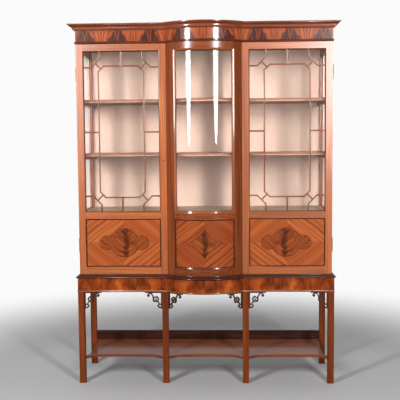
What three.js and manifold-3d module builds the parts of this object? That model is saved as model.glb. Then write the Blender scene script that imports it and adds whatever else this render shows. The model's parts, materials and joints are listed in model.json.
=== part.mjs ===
// A bow-front china cabinet: a glazed mahogany carcase with two hinged doors and a
// fixed curved centre, on an open stand of six square legs with an undertier.
// Millimetres, +Z up, the front faces -Y, the middle of the bow lies on X = 0.

import * as THREE from 'three';
import { mergeVertices } from 'three/addons/utils/BufferGeometryUtils.js';
import Module from 'manifold-3d';

const wasm = await Module();
wasm.setup();

// Clearances
const seat = 0.3;
const running = 0.6;
const overrun = 5;

// Plan of the stand, which every moulding and board above follows
const standWidth = 1323;
const standDepth = 374;
const bowChord = 391.4;
const bowRise = 72;
const bowSteps = 20;

// Legs
const legSize = 31.5;
const legHeight = 481.7;
const midLegOffset = 208;

// Stand: bead, aprons and moulded top
const beadHeight = 8.2;
const beadProjection = 2.2;
const apronHeight = 65.2;
const apronThickness = 16;
const standTopThickness = 17;
const standTopProjection = 8;

// Undertier and its back rail
const tierTop = 141;
const tierThickness = 15;
const tierEarFront = 12;
const tierMidFront = 46;
const tierEarLength = 32;
const tierEarDepth = 22;
const tierEndRecess = 15;
const tierEndEar = 20;
const tierRearInset = 14;
const tierArcSteps = 8;
const tierRailHeight = 50;
const tierRailThickness = 14;
const tierRailInset = 30;

// Fret brackets under the bead
const fretLength = 89;
const fretDrop = 89;
const fretThickness = 8;
const fretSetback = 6;
const fretBarHeight = 7;
const fretBarWidth = 7.5;
const fretStem = 6.4;
const fretCusp = 6;
const fretLoopOuter = 11.5;
const fretLoopInner = 4.6;
const fretLobe = 5.8;
const fretSides = 12;
const fretTurn = THREE.MathUtils.degToRad(33);

// Carcase
const carcaseInset = 11.5;
const carcaseHeight = 1178.7;
const sideThickness = 22;
const sideFrontStile = 34;
const sideRearStile = 50;
const sideTopRail = 40;
const sidePanelRecess = 4;
const boardThickness = 16;
const backThickness = 12;
const liningThickness = 1.6;
const paneThickness = 4;
const panelThickness = 8;
const rebate = 6;

// Shelves
const shelfThickness = 15;
const shelfFront = 62;
const shelfBowSetback = 35;
const upperShelfTop = 1475;
const lowerShelfTop = 1198;
const bearerFront = 52;
const bearerHeight = 16;
const bearerThickness = 12;

// Doors
const doorThickness = 22;
const doorClearance = 1.5;
const stileWidth = 34;
const topRail = 32.3;
const middleRail = 33;
const bottomRail = 37;
const panelOpening = 250.5;
const glassSetback = 12;
const panelSetback = 5;
const doorGlassThickness = 3;

// Glazing bars, measured from the edges of the glazed opening
const barWidth = 7.2;
const barRecess = 2;
const octagonSide = 79;
const octagonEnd = 77;
const octagonChamfer = 28;
const cornerAcross = 86;
const cornerDrop = 40;
const cornerReach = 43;
const cornerFall = 84;

// Bow frame
const bowFrameHalf = 191;
const bowFrameThickness = 22;
const bowPostWidth = 26;
const bowPostBack = 56;
const bowStileWidth = 37.5;
const bowStopWidth = 14;
const bowGlassSetback = 10;

// Hinges
const hingeHeight = 75;
const hingeFromEnd = 110;
const hingeRadius = 4.5;
const hingeOverhang = 1.6;
const leafWidth = 20;
const leafThickness = 2;
const hingeSides = 16;

// Locks
const lockHeight = 1160;
const lockWidth = 27;
const lockDepth = 10;
const lockTall = 60;
const boltLength = 22;
const boltThickness = 6;
const boltTall = 16;
const boltThrow = 7;
const boltPlay = 0.4;
const escutcheonRadius = 4;
const escutcheonProud = 1;
const keyholeRadius = 1.8;
const keyholeInset = 17;

// Necking bead, frieze and cornice
const neckHeight = 11.2;
const neckProjection = 5.2;
const friezeHeight = 54.4;
const friezeThickness = 12;
const corniceHeight = 31.5;
const corniceProjection = 36;

// Values that follow from the driving dimensions
const standHalf = standWidth / 2;
const bowHalf = bowChord / 2;
const bowRadius = (bowHalf * bowHalf + bowRise * bowRise) / (2 * bowRise);
const bowCentre = bowRadius - bowRise;
const bowSightHalf = bowFrameHalf - bowStileWidth;
const bowStep = 2 * Math.asin(bowHalf / bowRadius) / bowSteps;
const carcaseHalf = standHalf - carcaseInset;
const carcaseFront = carcaseInset;
const sideInner = carcaseHalf - sideThickness;

const beadBase = legHeight + seat;
const apronBase = beadBase + beadHeight + seat;
const apronTop = apronBase + apronHeight;
const standTopBase = apronTop + seat;
const standTopTop = standTopBase + standTopThickness;
const carcaseBase = standTopTop + seat;
const carcaseTop = carcaseBase + carcaseHeight;
const neckBase = carcaseTop + seat;
const friezeBase = neckBase + neckHeight + seat;
const friezeTop = friezeBase + friezeHeight;
const corniceBase = friezeTop + seat;

const doorBack = carcaseFront + doorThickness;
const bodyFront = doorBack + running;
const doorBase = standTopTop + doorClearance;
const doorTop = neckBase - doorClearance;
const doorInner = bowFrameHalf + doorClearance;
const doorWidth = carcaseHalf - doorInner;
const panelBase = doorBase + bottomRail;
const panelTop = panelBase + panelOpening;
const glassBase = panelTop + middleRail;
const glassTop = doorTop - topRail;
const floorTop = glassBase;
const backFront = standDepth - backThickness;

// Solids from three.js geometry, joined and cut

function toSolid(geometry) {
  const bare = geometry.index ? geometry.clone() : geometry;
  bare.deleteAttribute('normal');
  bare.deleteAttribute('uv');
  const merged = mergeVertices(bare);
  const vertProperties = new Float32Array(merged.getAttribute('position').array);
  const triVerts = new Uint32Array(merged.getIndex().array);
  return new wasm.Manifold(new wasm.Mesh({ numProp: 3, vertProperties, triVerts }));
}

function toGeometry(solid) {
  const mesh = solid.getMesh();
  const geometry = new THREE.BufferGeometry();
  geometry.setAttribute('position', new THREE.BufferAttribute(mesh.vertProperties, 3));
  geometry.setIndex(new THREE.BufferAttribute(mesh.triVerts, 1));
  geometry.computeVertexNormals();
  return geometry;
}

function join(...geometries) {
  return toGeometry(geometries.map(toSolid).reduce((whole, piece) => whole.add(piece)));
}

function cut(geometry, ...tools) {
  return toGeometry(tools.map(toSolid).reduce((whole, tool) => whole.subtract(tool), toSolid(geometry)));
}

// A box between two opposite corners
function block(x0, x1, y0, y1, z0, z1) {
  const geometry = new THREE.BoxGeometry(Math.abs(x1 - x0), Math.abs(y1 - y0), Math.abs(z1 - z0));
  geometry.translate((x0 + x1) / 2, (y0 + y1) / 2, (z0 + z1) / 2);
  return geometry;
}

// A closed plan outline raised from z0 to z1
function board(points, z0, z1) {
  const shape = new THREE.Shape(points);
  const geometry = new THREE.ExtrudeGeometry(shape, { depth: z1 - z0, bevelEnabled: false });
  geometry.translate(0, 0, z0);
  return geometry;
}

// A closed front-view outline, x and z, given thickness from y0 to y1
function plate(points, y0, y1, holes = []) {
  const shape = new THREE.Shape(points);
  shape.holes = holes.map((hole) => new THREE.Path(hole));
  const geometry = new THREE.ExtrudeGeometry(shape, { depth: y1 - y0, bevelEnabled: false });
  geometry.rotateX(Math.PI / 2);
  geometry.translate(0, y1, 0);
  return geometry;
}

// A disc or ring seen from the front
function disc(x, z, radius, y0, y1, sides) {
  const geometry = new THREE.CylinderGeometry(radius, radius, y1 - y0, sides);
  geometry.translate(x, (y0 + y1) / 2, z);
  return geometry;
}

function upright(x, y, radius, z0, z1, sides) {
  const geometry = new THREE.CylinderGeometry(radius, radius, z1 - z0, sides);
  geometry.rotateX(Math.PI / 2);
  geometry.translate(x, y, (z0 + z1) / 2);
  return geometry;
}

// An even strip that follows a line of points with mitred corners
function ribbon(points, width) {
  const left = [];
  const right = [];
  points.forEach((point, i) => {
    const before = points[Math.max(i - 1, 0)];
    const after = points[Math.min(i + 1, points.length - 1)];
    const into = (i === 0 ? after.clone().sub(point) : point.clone().sub(before)).normalize();
    const out = (i === points.length - 1 ? into : after.clone().sub(point).normalize());
    const along = into.clone().add(out).normalize();
    const side = new THREE.Vector2(-along.y, along.x);
    const reach = width / 2 / along.dot(into);
    left.push(point.clone().addScaledVector(side, reach));
    right.unshift(point.clone().addScaledVector(side, -reach));
  });
  return [...right, ...left];
}

// The plan: straight sides and front with a circular bow, all offset outwards alike

function bowJunction(offset) {
  const radius = bowRadius + offset;
  const rise = bowCentre + offset;
  return Math.sqrt(radius * radius - rise * rise);
}

// Points of the bow from -half to +half, on one grid of angles for every offset
function bowArc(offset, half, fixedCount) {
  const radius = bowRadius + offset;
  const end = Math.asin(half / radius);
  const count = fixedCount ?? Math.ceil(end / bowStep) - 1;
  const angles = [-end];
  for (let k = -count; k <= count; k += 1) angles.push(k * bowStep);
  angles.push(end);
  return angles.map((a) => new THREE.Vector2(radius * Math.sin(a), bowCentre - radius * Math.cos(a)));
}

// The front line from -half to +half: straight, bow, straight
function frontLine(offset, half) {
  const junction = bowJunction(offset);
  if (half <= junction) return bowArc(offset, half);
  const start = new THREE.Vector2(-half, -offset);
  const end = new THREE.Vector2(half, -offset);
  return [start, ...bowArc(offset, junction), end];
}

// The whole outline from the back left corner round the front to the back right,
// with the same number of points at every offset
function planLine(offset) {
  const half = standHalf + offset;
  const arc = bowArc(offset, bowJunction(offset), bowSteps / 2 - 1);
  const left = [new THREE.Vector2(-half, standDepth), new THREE.Vector2(-half, -offset)];
  const right = [new THREE.Vector2(half, -offset), new THREE.Vector2(half, standDepth)];
  return [...left, ...arc, ...right];
}

// A band of the front between two offsets, cut square at -half and +half
function bowBand(outer, inner, half, z0, z1) {
  return board([...frontLine(outer, half), ...frontLine(inner, half).reverse()], z0, z1);
}

function closedGeometry(positions, index) {
  const geometry = new THREE.BufferGeometry();
  geometry.setAttribute('position', new THREE.Float32BufferAttribute(positions, 3));
  geometry.setIndex(index);
  geometry.computeVertexNormals();
  return geometry;
}

// A moulding: a closed profile of [offset, height] carried round the plan outline
function moulding(profile) {
  const drawn = profile.map(([offset, z]) => new THREE.Vector2(offset, z));
  const contour = THREE.ShapeUtils.isClockWise(drawn) ? drawn.reverse() : drawn;
  const rings = contour.map((edge) => planLine(edge.x).map((p) => [p.x, p.y, edge.y]));
  const steps = rings[0].length;
  const positions = rings.flat(2);
  const index = [];
  rings.forEach((ring, i) => {
    const next = (i + 1) % rings.length;
    for (let k = 0; k < steps - 1; k += 1) {
      const a = i * steps + k;
      const b = next * steps + k;
      index.push(a, b, a + 1, b, b + 1, a + 1);
    }
  });
  const last = steps - 1;
  THREE.ShapeUtils.triangulateShape(contour, []).forEach(([a, b, c]) => {
    index.push(c * steps, b * steps, a * steps);
    index.push(a * steps + last, b * steps + last, c * steps + last);
  });
  return outward(positions, index);
}

// A slab whose edge is moulded: outlines of [offset, height] from the bottom up
function mouldedSlab(levels) {
  const rings = levels.map(([offset, z]) => planLine(offset).map((p) => [p.x, p.y, z]));
  const steps = rings[0].length;
  const positions = rings.flat(2);
  const index = [];
  for (let i = 0; i < levels.length - 1; i += 1) {
    for (let k = 0; k < steps; k += 1) {
      const a = i * steps + k;
      const b = i * steps + (k + 1) % steps;
      index.push(a, b, a + steps, b, b + steps, a + steps);
    }
  }
  const last = (levels.length - 1) * steps;
  const bottom = planLine(levels[0][0]);
  THREE.ShapeUtils.triangulateShape(bottom, []).forEach(([a, b, c]) => {
    index.push(c, b, a, last + a, last + b, last + c);
  });
  return outward(positions, index);
}

// Turns a closed surface so that its faces point out
function outward(positions, index) {
  const corner = (i) => new THREE.Vector3().fromArray(positions, i * 3);
  let volume = 0;
  for (let t = 0; t < index.length; t += 3) {
    const [a, b, c] = [corner(index[t]), corner(index[t + 1]), corner(index[t + 2])];
    volume += a.dot(b.cross(c));
  }
  return closedGeometry(positions, volume < 0 ? index.reverse() : index);
}

// Materials

function wood(color, roughness) {
  return new THREE.MeshStandardMaterial({ color, roughness, metalness: 0 });
}

const doorMahogany = wood('#a8592a', 0.35);
const caseMahogany = wood('#8c4420', 0.35);
const legMahogany = wood('#7d3d1e', 0.38);
const darkMahogany = wood('#4a2014', 0.3);
const flameVeneer = wood('#86401c', 0.25);
const quarteredVeneer = wood('#a3501f', 0.3);
const shelfWood = wood('#5a3a26', 0.5);
const backWood = wood('#6f4a30', 0.7);
const liningFabric = new THREE.MeshStandardMaterial({ color: '#ecd0b4', roughness: 0.9, metalness: 0 });
const brass = new THREE.MeshStandardMaterial({ color: '#b08a45', roughness: 0.35, metalness: 1 });
const glass = new THREE.MeshStandardMaterial({
  color: '#e8efec',
  roughness: 0.05,
  metalness: 0,
  transparent: true,
  opacity: 0.25,
});

function piece(name, geometry, material, x = 0, y = 0, z = 0) {
  const mesh = new THREE.Mesh(geometry, material);
  mesh.name = name;
  mesh.position.set(x, y, z);
  return mesh;
}

const sides = [
  { name: 'left', sign: -1 },
  { name: 'right', sign: 1 },
];

// Legs: a square foot up to the bead and a slimmer post behind the aprons

function legGeometry(postX0, postX1, postY0, postY1) {
  const half = legSize / 2;
  const foot = block(-half, half, -half, half, 0, legHeight);
  const post = block(postX0, postX1, postY0, postY1, legHeight - overrun, apronTop);
  return join(foot, post);
}

function buildLegs() {
  const legs = new THREE.Group();
  const half = legSize / 2;
  const lap = apronThickness + seat - half;
  for (const { name, sign } of sides) {
    const inner = [Math.min(-sign * half, -sign * lap), Math.max(-sign * half, -sign * lap)];
    const endX = sign * (standHalf - half);
    const midX = sign * midLegOffset;
    const front = legGeometry(...inner, lap, half);
    const middle = legGeometry(-half, half, lap, half);
    const rear = legGeometry(...inner, -half, -lap);
    legs.add(piece(`leg_front_${name}`, front, legMahogany, endX, half));
    legs.add(piece(`leg_middle_${name}`, middle, legMahogany, midX, half));
    legs.add(piece(`leg_rear_${name}`, rear, legMahogany, endX, standDepth - half));
  }
  return legs;
}

// Aprons on three sides and the back, a bead under them and the moulded stand top

function buildAprons() {
  const aprons = new THREE.Group();
  const jointX = bowJunction(0);
  const bow = bowBand(0, -apronThickness, jointX, apronBase, apronTop);
  aprons.add(piece('apron_bow', bow, flameVeneer));
  const frontLength = standHalf - jointX - seat;
  const endLength = standDepth - apronThickness - seat;
  const backHalf = standHalf - apronThickness - seat;
  for (const { name, sign } of sides) {
    const front = new THREE.BoxGeometry(frontLength, apronThickness, apronHeight);
    const end = new THREE.BoxGeometry(apronThickness, endLength, apronHeight);
    const middleZ = (apronBase + apronTop) / 2;
    const frontX = sign * (standHalf - frontLength / 2);
    const endX = sign * (standHalf - apronThickness / 2);
    const endY = standDepth - endLength / 2;
    aprons.add(piece(`apron_front_${name}`, front, flameVeneer, frontX, apronThickness / 2, middleZ));
    aprons.add(piece(`apron_end_${name}`, end, caseMahogany, endX, endY, middleZ));
  }
  const back = block(-backHalf, backHalf, standDepth - apronThickness, standDepth, apronBase, apronTop);
  aprons.add(piece('apron_back', back, backWood));
  return aprons;
}

function buildStandBead() {
  const top = beadBase + beadHeight;
  const quirk = beadHeight / 5;
  const profile = [
    [-apronThickness, beadBase],
    [beadProjection / 2, beadBase],
    [beadProjection, beadBase + quirk],
    [beadProjection, top - quirk],
    [beadProjection / 2, top],
    [-apronThickness, top],
  ];
  return piece('stand_bead', moulding(profile), doorMahogany);
}

// The edge falls from the carcase in a quarter round to a nosing low down
const standTopShares = [
  [0.55, 0],
  [0.95, 0.06],
  [1, 0.16],
  [0.9, 0.38],
  [0.5, 0.66],
  [-0.1, 0.86],
  [-0.9, 0.97],
  [-1.1, 1],
];

function buildStandTop() {
  const levels = standTopShares.map(([out, up]) => [
    out * standTopProjection,
    standTopBase + up * standTopThickness,
  ]);
  return piece('stand_top', mouldedSlab(levels), darkMahogany);
}

// Undertier: a thin board between the legs, hollowed in each bay, with eared corners

const tierEarShares = [
  [0, 0],
  [0.28, 0],
  [0.42, 0.22],
  [0.5, 0.55],
  [0.66, 0.42],
  [0.8, 0.62],
  [1, 0.78],
];

// The front edge of one bay, from the leg at x0 to the leg at x1
function tierBay(x0, x1) {
  const ear = tierEarShares.map(([along, back]) => [
    along * tierEarLength,
    tierEarFront + back * tierEarDepth,
  ]);
  const start = ear.map(([along, y]) => new THREE.Vector2(x0 + along, y));
  const end = ear.map(([along, y]) => new THREE.Vector2(x1 - along, y)).reverse();
  const earEnd = start[start.length - 1];
  const length = x1 - x0 - 2 * tierEarLength;
  const hollow = [];
  for (let i = 1; i < tierArcSteps; i += 1) {
    const t = i / tierArcSteps;
    const y = earEnd.y + (tierMidFront - earEnd.y) * Math.sin(Math.PI * t);
    hollow.push(new THREE.Vector2(earEnd.x + t * length, y));
  }
  return [...start, ...hollow, ...end];
}

function tierOutline() {
  const endLegInner = standHalf - legSize - seat;
  const midLegInner = midLegOffset - legSize / 2 - seat;
  const midLegOuter = midLegOffset + legSize / 2 + seat;
  const behindLeg = legSize + seat;
  const endEdge = endLegInner - tierEndRecess;
  const rearEar = standDepth - legSize - tierEndEar;
  const tierBack = standDepth - tierRearInset;
  const left = [
    new THREE.Vector2(-endEdge, rearEar),
    new THREE.Vector2(-endEdge, behindLeg + tierEndEar),
    new THREE.Vector2(-endLegInner, behindLeg),
  ];
  const front = [
    ...tierBay(-endLegInner, -midLegOuter),
    new THREE.Vector2(-midLegOuter, behindLeg),
    new THREE.Vector2(-midLegInner, behindLeg),
    ...tierBay(-midLegInner, midLegInner),
    new THREE.Vector2(midLegInner, behindLeg),
    new THREE.Vector2(midLegOuter, behindLeg),
    ...tierBay(midLegOuter, endLegInner),
  ];
  const right = left.map((p) => new THREE.Vector2(-p.x, p.y)).reverse();
  const back = [
    new THREE.Vector2(endLegInner, standDepth - legSize),
    new THREE.Vector2(endLegInner, tierBack),
    new THREE.Vector2(-endLegInner, tierBack),
    new THREE.Vector2(-endLegInner, standDepth - legSize),
  ];
  return [...left, ...front, ...right, ...back];
}

function buildUndertier() {
  const tier = new THREE.Group();
  const top = board(tierOutline(), tierTop - tierThickness, tierTop);
  tier.add(piece('undertier', top, darkMahogany));
  const railLength = 2 * (standHalf - legSize - seat);
  const rail = new THREE.BoxGeometry(railLength, tierRailThickness, tierRailHeight);
  const railY = standDepth - tierRailInset + tierRailThickness / 2;
  const railZ = tierTop + seat + tierRailHeight / 2;
  tier.add(piece('undertier_back_rail', rail, darkMahogany, 0, railY, railZ));
  return tier;
}

// Fret bracket in its own plane: x runs away from the leg and z hangs below the bead

const fretStemShares = [
  [[0.66, 0.04], [0.43, 0.38]],
  [[0.3, 0.48], [0.05, 0.72]],
];
const fretTailShares = [
  [[0.9, 0.03], [0.78, 0.2]],
  [[0.04, 0.93], [0.22, 0.85]],
];
const fretLoopShare = [0.37, 0.44];
const fretLobeShares = [[0.49, 0.56], [0.5, 0.42], [0.29, 0.34]];

function fretGeometry() {
  const half = fretThickness / 2;
  const place = ([across, down]) => new THREE.Vector2(across * fretLength, -down * fretDrop);
  const strip = (ends) => plate(ribbon(ends.map(place), fretStem), -half, half);
  const circle = (share, radius, reach = half) => {
    const centre = place(share);
    return disc(centre.x, centre.y, radius, -reach, reach, fretSides);
  };
  const body = join(
    block(0, fretLength, -half, half, -fretBarHeight, 0),
    block(0, fretBarWidth, -half, half, -fretDrop, 0),
    ...fretStemShares.map(strip),
    ...fretTailShares.map(strip),
    ...fretTailShares.map(([, tip]) => circle(tip, fretCusp)),
    ...fretLobeShares.map((share) => circle(share, fretLobe)),
    circle(fretLoopShare, fretLoopOuter),
  );
  return cut(body, circle(fretLoopShare, fretLoopInner, fretThickness));
}

// Each bracket stands in a group turned to face along its bay
function fretBracket(name, geometry, x, away, turn) {
  const corner = new THREE.Group();
  const clear = (seat + fretThickness / 2 * Math.sin(turn)) / Math.cos(turn);
  corner.position.set(x, fretSetback + fretThickness / 2, legHeight);
  corner.rotation.z = away > 0 ? -turn : Math.PI + turn;
  corner.add(piece(name, geometry, darkMahogany, clear));
  return corner;
}

function buildFretBrackets() {
  const brackets = new THREE.Group();
  const geometry = fretGeometry();
  const endInner = standHalf - legSize;
  const midInner = midLegOffset - legSize / 2;
  const midOuter = midLegOffset + legSize / 2;
  for (const { name, sign } of sides) {
    brackets.add(fretBracket(`bracket_end_${name}`, geometry, sign * endInner, -sign, 0));
    brackets.add(fretBracket(`bracket_middle_${name}`, geometry, sign * midOuter, sign, 0));
    brackets.add(fretBracket(`bracket_bow_${name}`, geometry, sign * midInner, -sign, fretTurn));
  }
  return brackets;
}

// Boards inside the carcase: notched round the bow posts, curved under the bow

function interiorPlan(frontY, bowOffset, half, backY) {
  const outer = bowFrameHalf + bowStopWidth + seat;
  const inner = bowFrameHalf - bowPostWidth - seat;
  const behind = bowPostBack + seat;
  const arc = bowArc(bowOffset, inner);
  const notched = frontY < behind;
  const notch = [new THREE.Vector2(-outer, frontY), new THREE.Vector2(-outer, behind)];
  const left = [
    new THREE.Vector2(-half, backY),
    new THREE.Vector2(-half, frontY),
    ...(notched ? notch : []),
    new THREE.Vector2(-inner, notched ? behind : frontY),
  ];
  const right = left.map((p) => new THREE.Vector2(-p.x, p.y)).reverse();
  return [...left, ...arc, ...right];
}

function buildCarcaseBoards() {
  const boards = new THREE.Group();
  const half = sideInner - seat;
  const behindFrame = -carcaseInset - bowFrameThickness - seat;
  const closeFront = bodyFront + running;
  const back = backFront - seat;
  const shelfBack = back - liningThickness - seat;
  const shelfBow = -carcaseInset - bowGlassSetback - shelfBowSetback + paneThickness;
  const bottomPlan = interiorPlan(closeFront, behindFrame, half, back);
  const floorPlan = interiorPlan(closeFront, behindFrame, half, shelfBack);
  const shelfPlan = interiorPlan(shelfFront, shelfBow, half, shelfBack);
  const bottom = board(bottomPlan, carcaseBase, carcaseBase + boardThickness);
  const floor = board(floorPlan, floorTop - boardThickness, floorTop);
  const upper = board(shelfPlan, upperShelfTop - shelfThickness, upperShelfTop);
  const lower = board(shelfPlan, lowerShelfTop - shelfThickness, lowerShelfTop);
  const topOffset = -carcaseInset - friezeThickness - seat;
  const topPlan = planLine(topOffset);
  const top = board(topPlan, neckBase, neckBase + boardThickness);
  boards.add(piece('carcase_bottom', bottom, shelfWood));
  boards.add(piece('display_floor', floor, shelfWood));
  boards.add(piece('shelf_upper', upper, shelfWood));
  boards.add(piece('shelf_lower', lower, shelfWood));
  boards.add(piece('carcase_top', top, shelfWood));
  const backPanel = block(-half, half, backFront, standDepth, carcaseBase, carcaseTop);
  const liningBase = floorTop + seat;
  const lining = block(-half, half, back - liningThickness, back, liningBase, carcaseTop);
  boards.add(piece('back_panel', backPanel, backWood));
  boards.add(piece('back_lining', lining, liningFabric));
  return boards;
}

// Side frames: stiles and rails with a glazed upper light, a recessed lower panel,
// and bearers that carry the shelves and the display floor

const hingeBases = [doorBase + hingeFromEnd, doorTop - hingeFromEnd - hingeHeight];

function sideFrameGeometry(sign) {
  const outer = sign * carcaseHalf;
  const inner = sign * sideInner;
  const lightFront = bodyFront + sideFrontStile;
  const lightBack = standDepth - sideRearStile;
  const lightTop = carcaseTop - sideTopRail;
  const beyond = sign * (carcaseHalf + overrun);
  const inside = sign * (sideInner - overrun);
  const paneInner = sign * (sideInner + rebate);
  const paneOuter = sign * (sideInner + rebate + paneThickness + seat);
  const body = block(inner, outer, bodyFront, standDepth, carcaseBase, carcaseTop);
  const light = block(inside, beyond, lightFront, lightBack, glassBase, lightTop);
  const shoulder = block(
    inside, paneOuter,
    lightFront - rebate, lightBack + rebate,
    glassBase - rebate, lightTop + rebate,
  );
  const recess = block(
    sign * (carcaseHalf - sidePanelRecess), beyond,
    lightFront, lightBack,
    panelBase, panelTop,
  );
  const hingeTools = hingeBases.flatMap((base) => [
    upright(sign * (carcaseHalf + hingeOverhang), doorBack + seat, hingeRadius + running,
      base - running, base + hingeHeight + running, hingeSides),
    block(sign * (carcaseHalf - leafWidth - seat), beyond, doorBack, bodyFront + leafThickness + seat,
      base - seat, base + hingeHeight + seat),
  ]);
  const opened = cut(body, light, shoulder, recess, ...hingeTools);
  const bearers = [upperShelfTop - shelfThickness, lowerShelfTop - shelfThickness, floorTop - boardThickness]
    .map((under) => block(
      sign * (sideInner - bearerThickness), sign * (sideInner + seat),
      bearerFront, backFront - seat - liningThickness - seat,
      under - seat - bearerHeight, under - seat,
    ));
  const pane = block(
    paneInner, paneOuter - sign * seat,
    lightFront - rebate + seat, lightBack + rebate - seat,
    glassBase - rebate + seat, lightTop + rebate - seat,
  );
  return { frame: join(opened, ...bearers), pane };
}

function buildSides() {
  const frames = new THREE.Group();
  for (const { name, sign } of sides) {
    const { frame, pane } = sideFrameGeometry(sign);
    frames.add(piece(`side_frame_${name}`, frame, caseMahogany));
    frames.add(piece(`side_glass_${name}`, pane, glass));
  }
  return frames;
}

// Bow: a fixed curved frame between two posts, with a bent pane over a curved panel

function buildBow() {
  const bow = new THREE.Group();
  const face = -carcaseInset;
  const deep = -bowPostBack - overrun;
  const glassFace = face - bowGlassSetback;
  const panelFace = face - panelSetback;
  const rebateHalf = bowSightHalf + rebate;
  const shell = bowBand(face, face - bowFrameThickness, bowFrameHalf, carcaseBase, carcaseTop);
  const faceAtPost = frontLine(face, bowFrameHalf).at(-1).y;
  const postFront = faceAtPost + bowFrameThickness / 4;
  const posts = sides.flatMap(({ sign }) => [
    block(sign * (bowFrameHalf - bowPostWidth), sign * bowFrameHalf, postFront, bowPostBack,
      carcaseBase, carcaseTop),
    block(sign * (bowFrameHalf - seat), sign * (bowFrameHalf + bowStopWidth), bodyFront, bowPostBack,
      carcaseBase, carcaseTop),
  ]);
  const mortises = sides.map(({ sign }) => {
    const play = boltPlay * 2;
    const middleY = doorBack - lockDepth / 2;
    return block(
      sign * (bowFrameHalf - boltThrow - play), sign * (bowFrameHalf + overrun),
      middleY - boltThickness / 2 - play, middleY + boltThickness / 2 + play,
      lockHeight - boltTall / 2 - play, lockHeight + boltTall / 2 + play,
    );
  });
  const frame = cut(
    join(shell, ...posts),
    bowBand(0, deep, bowSightHalf, glassBase, glassTop),
    bowBand(0, deep, bowSightHalf, panelBase, panelTop),
    bowBand(glassFace, deep, rebateHalf, glassBase - rebate, glassTop + rebate),
    bowBand(panelFace, deep, rebateHalf, panelBase - rebate, panelTop + rebate),
    ...mortises,
  );
  const fitHalf = rebateHalf - seat;
  const fitting = rebate - seat;
  const pane = bowBand(
    glassFace - seat, glassFace - seat - paneThickness, fitHalf,
    glassBase - fitting, glassTop + fitting,
  );
  const panel = bowBand(
    panelFace - seat, panelFace - seat - panelThickness, fitHalf,
    panelBase - fitting, panelTop + fitting,
  );
  bow.add(piece('bow_frame', frame, caseMahogany));
  bow.add(piece('bow_glass', pane, glass));
  bow.add(piece('bow_panel', panel, quarteredVeneer));
  return bow;
}

// Doors, drawn from the hinge axis: x grows towards the free edge for the left door

function doorSpan(hand, from, to) {
  return [hand * from, hand * to];
}

function doorFrameGeometry(hand) {
  const edge = hingeOverhang;
  const free = edge + doorWidth;
  const front = -doorThickness - seat;
  const back = -seat;
  const sightEdge = edge + stileWidth;
  const sightFree = free - stileWidth;
  const box = (from, to, y0, y1, z0, z1) => block(...doorSpan(hand, from, to), y0, y1, z0, z1);
  const window = (z0, z1, setback) => [
    box(sightEdge, sightFree, front - overrun, back + overrun, z0, z1),
    box(sightEdge - rebate, sightFree + rebate, front + setback, back + overrun, z0 - rebate, z1 + rebate),
  ];
  const lockPocket = box(
    free - lockWidth - seat, free + overrun,
    back - lockDepth - seat, back + overrun,
    lockHeight - lockTall / 2 - seat, lockHeight + lockTall / 2 + seat,
  );
  const keyhole = disc(
    hand * (free - keyholeInset), lockHeight, escutcheonRadius + seat,
    front - overrun, back - lockDepth + seat, hingeSides,
  );
  const hingeNotches = hingeBases.map((base) => upright(
    0, 0, hingeRadius + running, base - running, base + hingeHeight + running, hingeSides,
  ));
  return cut(
    box(edge, free, front, back, doorBase, doorTop),
    ...window(glassBase, glassTop, glassSetback),
    ...window(panelBase, panelTop, panelSetback),
    lockPocket, keyhole, ...hingeNotches,
  );
}

// Glazing bars: a long octagon tied to the frame by corner, middle and end bars
function glazingBarGeometry(hand) {
  const x0 = hingeOverhang + stileWidth + seat;
  const x1 = hingeOverhang + doorWidth - stileWidth - seat;
  const z0 = glassBase + seat;
  const z1 = glassTop - seat;
  const centreX = (x0 + x1) / 2;
  const centreZ = (z0 + z1) / 2;
  const halfX = (x1 - x0) / 2;
  const halfZ = (z1 - z0) / 2;
  const y0 = -doorThickness - seat + barRecess;
  const y1 = -doorThickness - seat + glassSetback;
  const corners = [[1, 1], [-1, 1], [-1, -1], [1, -1]];
  const octagon = (grow) => {
    const x = halfX - octagonSide + grow;
    const z = halfZ - octagonEnd + grow;
    const chamfer = octagonChamfer + grow * (2 - Math.SQRT2);
    return corners.flatMap(([sx, sz]) => {
      const across = new THREE.Vector2(centreX + sx * (x - chamfer), centreZ + sz * z);
      const along = new THREE.Vector2(centreX + sx * x, centreZ + sz * (z - chamfer));
      return sx * sz > 0 ? [along, across] : [across, along];
    });
  };
  const bar = (points) => plate(ribbon(points, barWidth), y0, y1);
  const at = (sx, sz, fromSide, fromEnd) => new THREE.Vector2(
    centreX + sx * (halfX - fromSide),
    centreZ + sz * (halfZ - fromEnd),
  );
  const cornerBars = corners.flatMap(([sx, sz]) => [
    bar([
      at(sx, sz, 0, cornerFall), at(sx, sz, cornerReach, cornerFall),
      at(sx, sz, cornerAcross, cornerDrop), at(sx, sz, cornerAcross, 0),
    ]),
    bar([
      at(sx, sz, (cornerReach + cornerAcross) / 2, (cornerFall + cornerDrop) / 2),
      at(sx, sz, octagonSide + octagonChamfer / 2, octagonEnd + octagonChamfer / 2),
    ]),
  ]);
  const middleBars = [1, -1].flatMap((s) => [
    bar([at(s, 0, 0, 0), at(s, 0, octagonSide, 0)]),
    bar([at(0, s, 0, 0), at(0, s, 0, octagonEnd)]),
  ]);
  const ring = plate(octagon(barWidth / 2), y0, y1, [octagon(-barWidth / 2)]);
  const bars = join(ring, ...cornerBars, ...middleBars);
  return hand > 0 ? bars : bars.translate(-2 * centreX, 0, 0);
}

function doorPane(hand, setback, thickness, z0, z1) {
  const fitting = rebate - seat;
  const edge = hingeOverhang + stileWidth - fitting;
  const free = hingeOverhang + doorWidth - stileWidth + fitting;
  const front = -doorThickness - seat + setback + seat;
  return block(...doorSpan(hand, edge, free), front, front + thickness, z0 - fitting, z1 + fitting);
}

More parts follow.
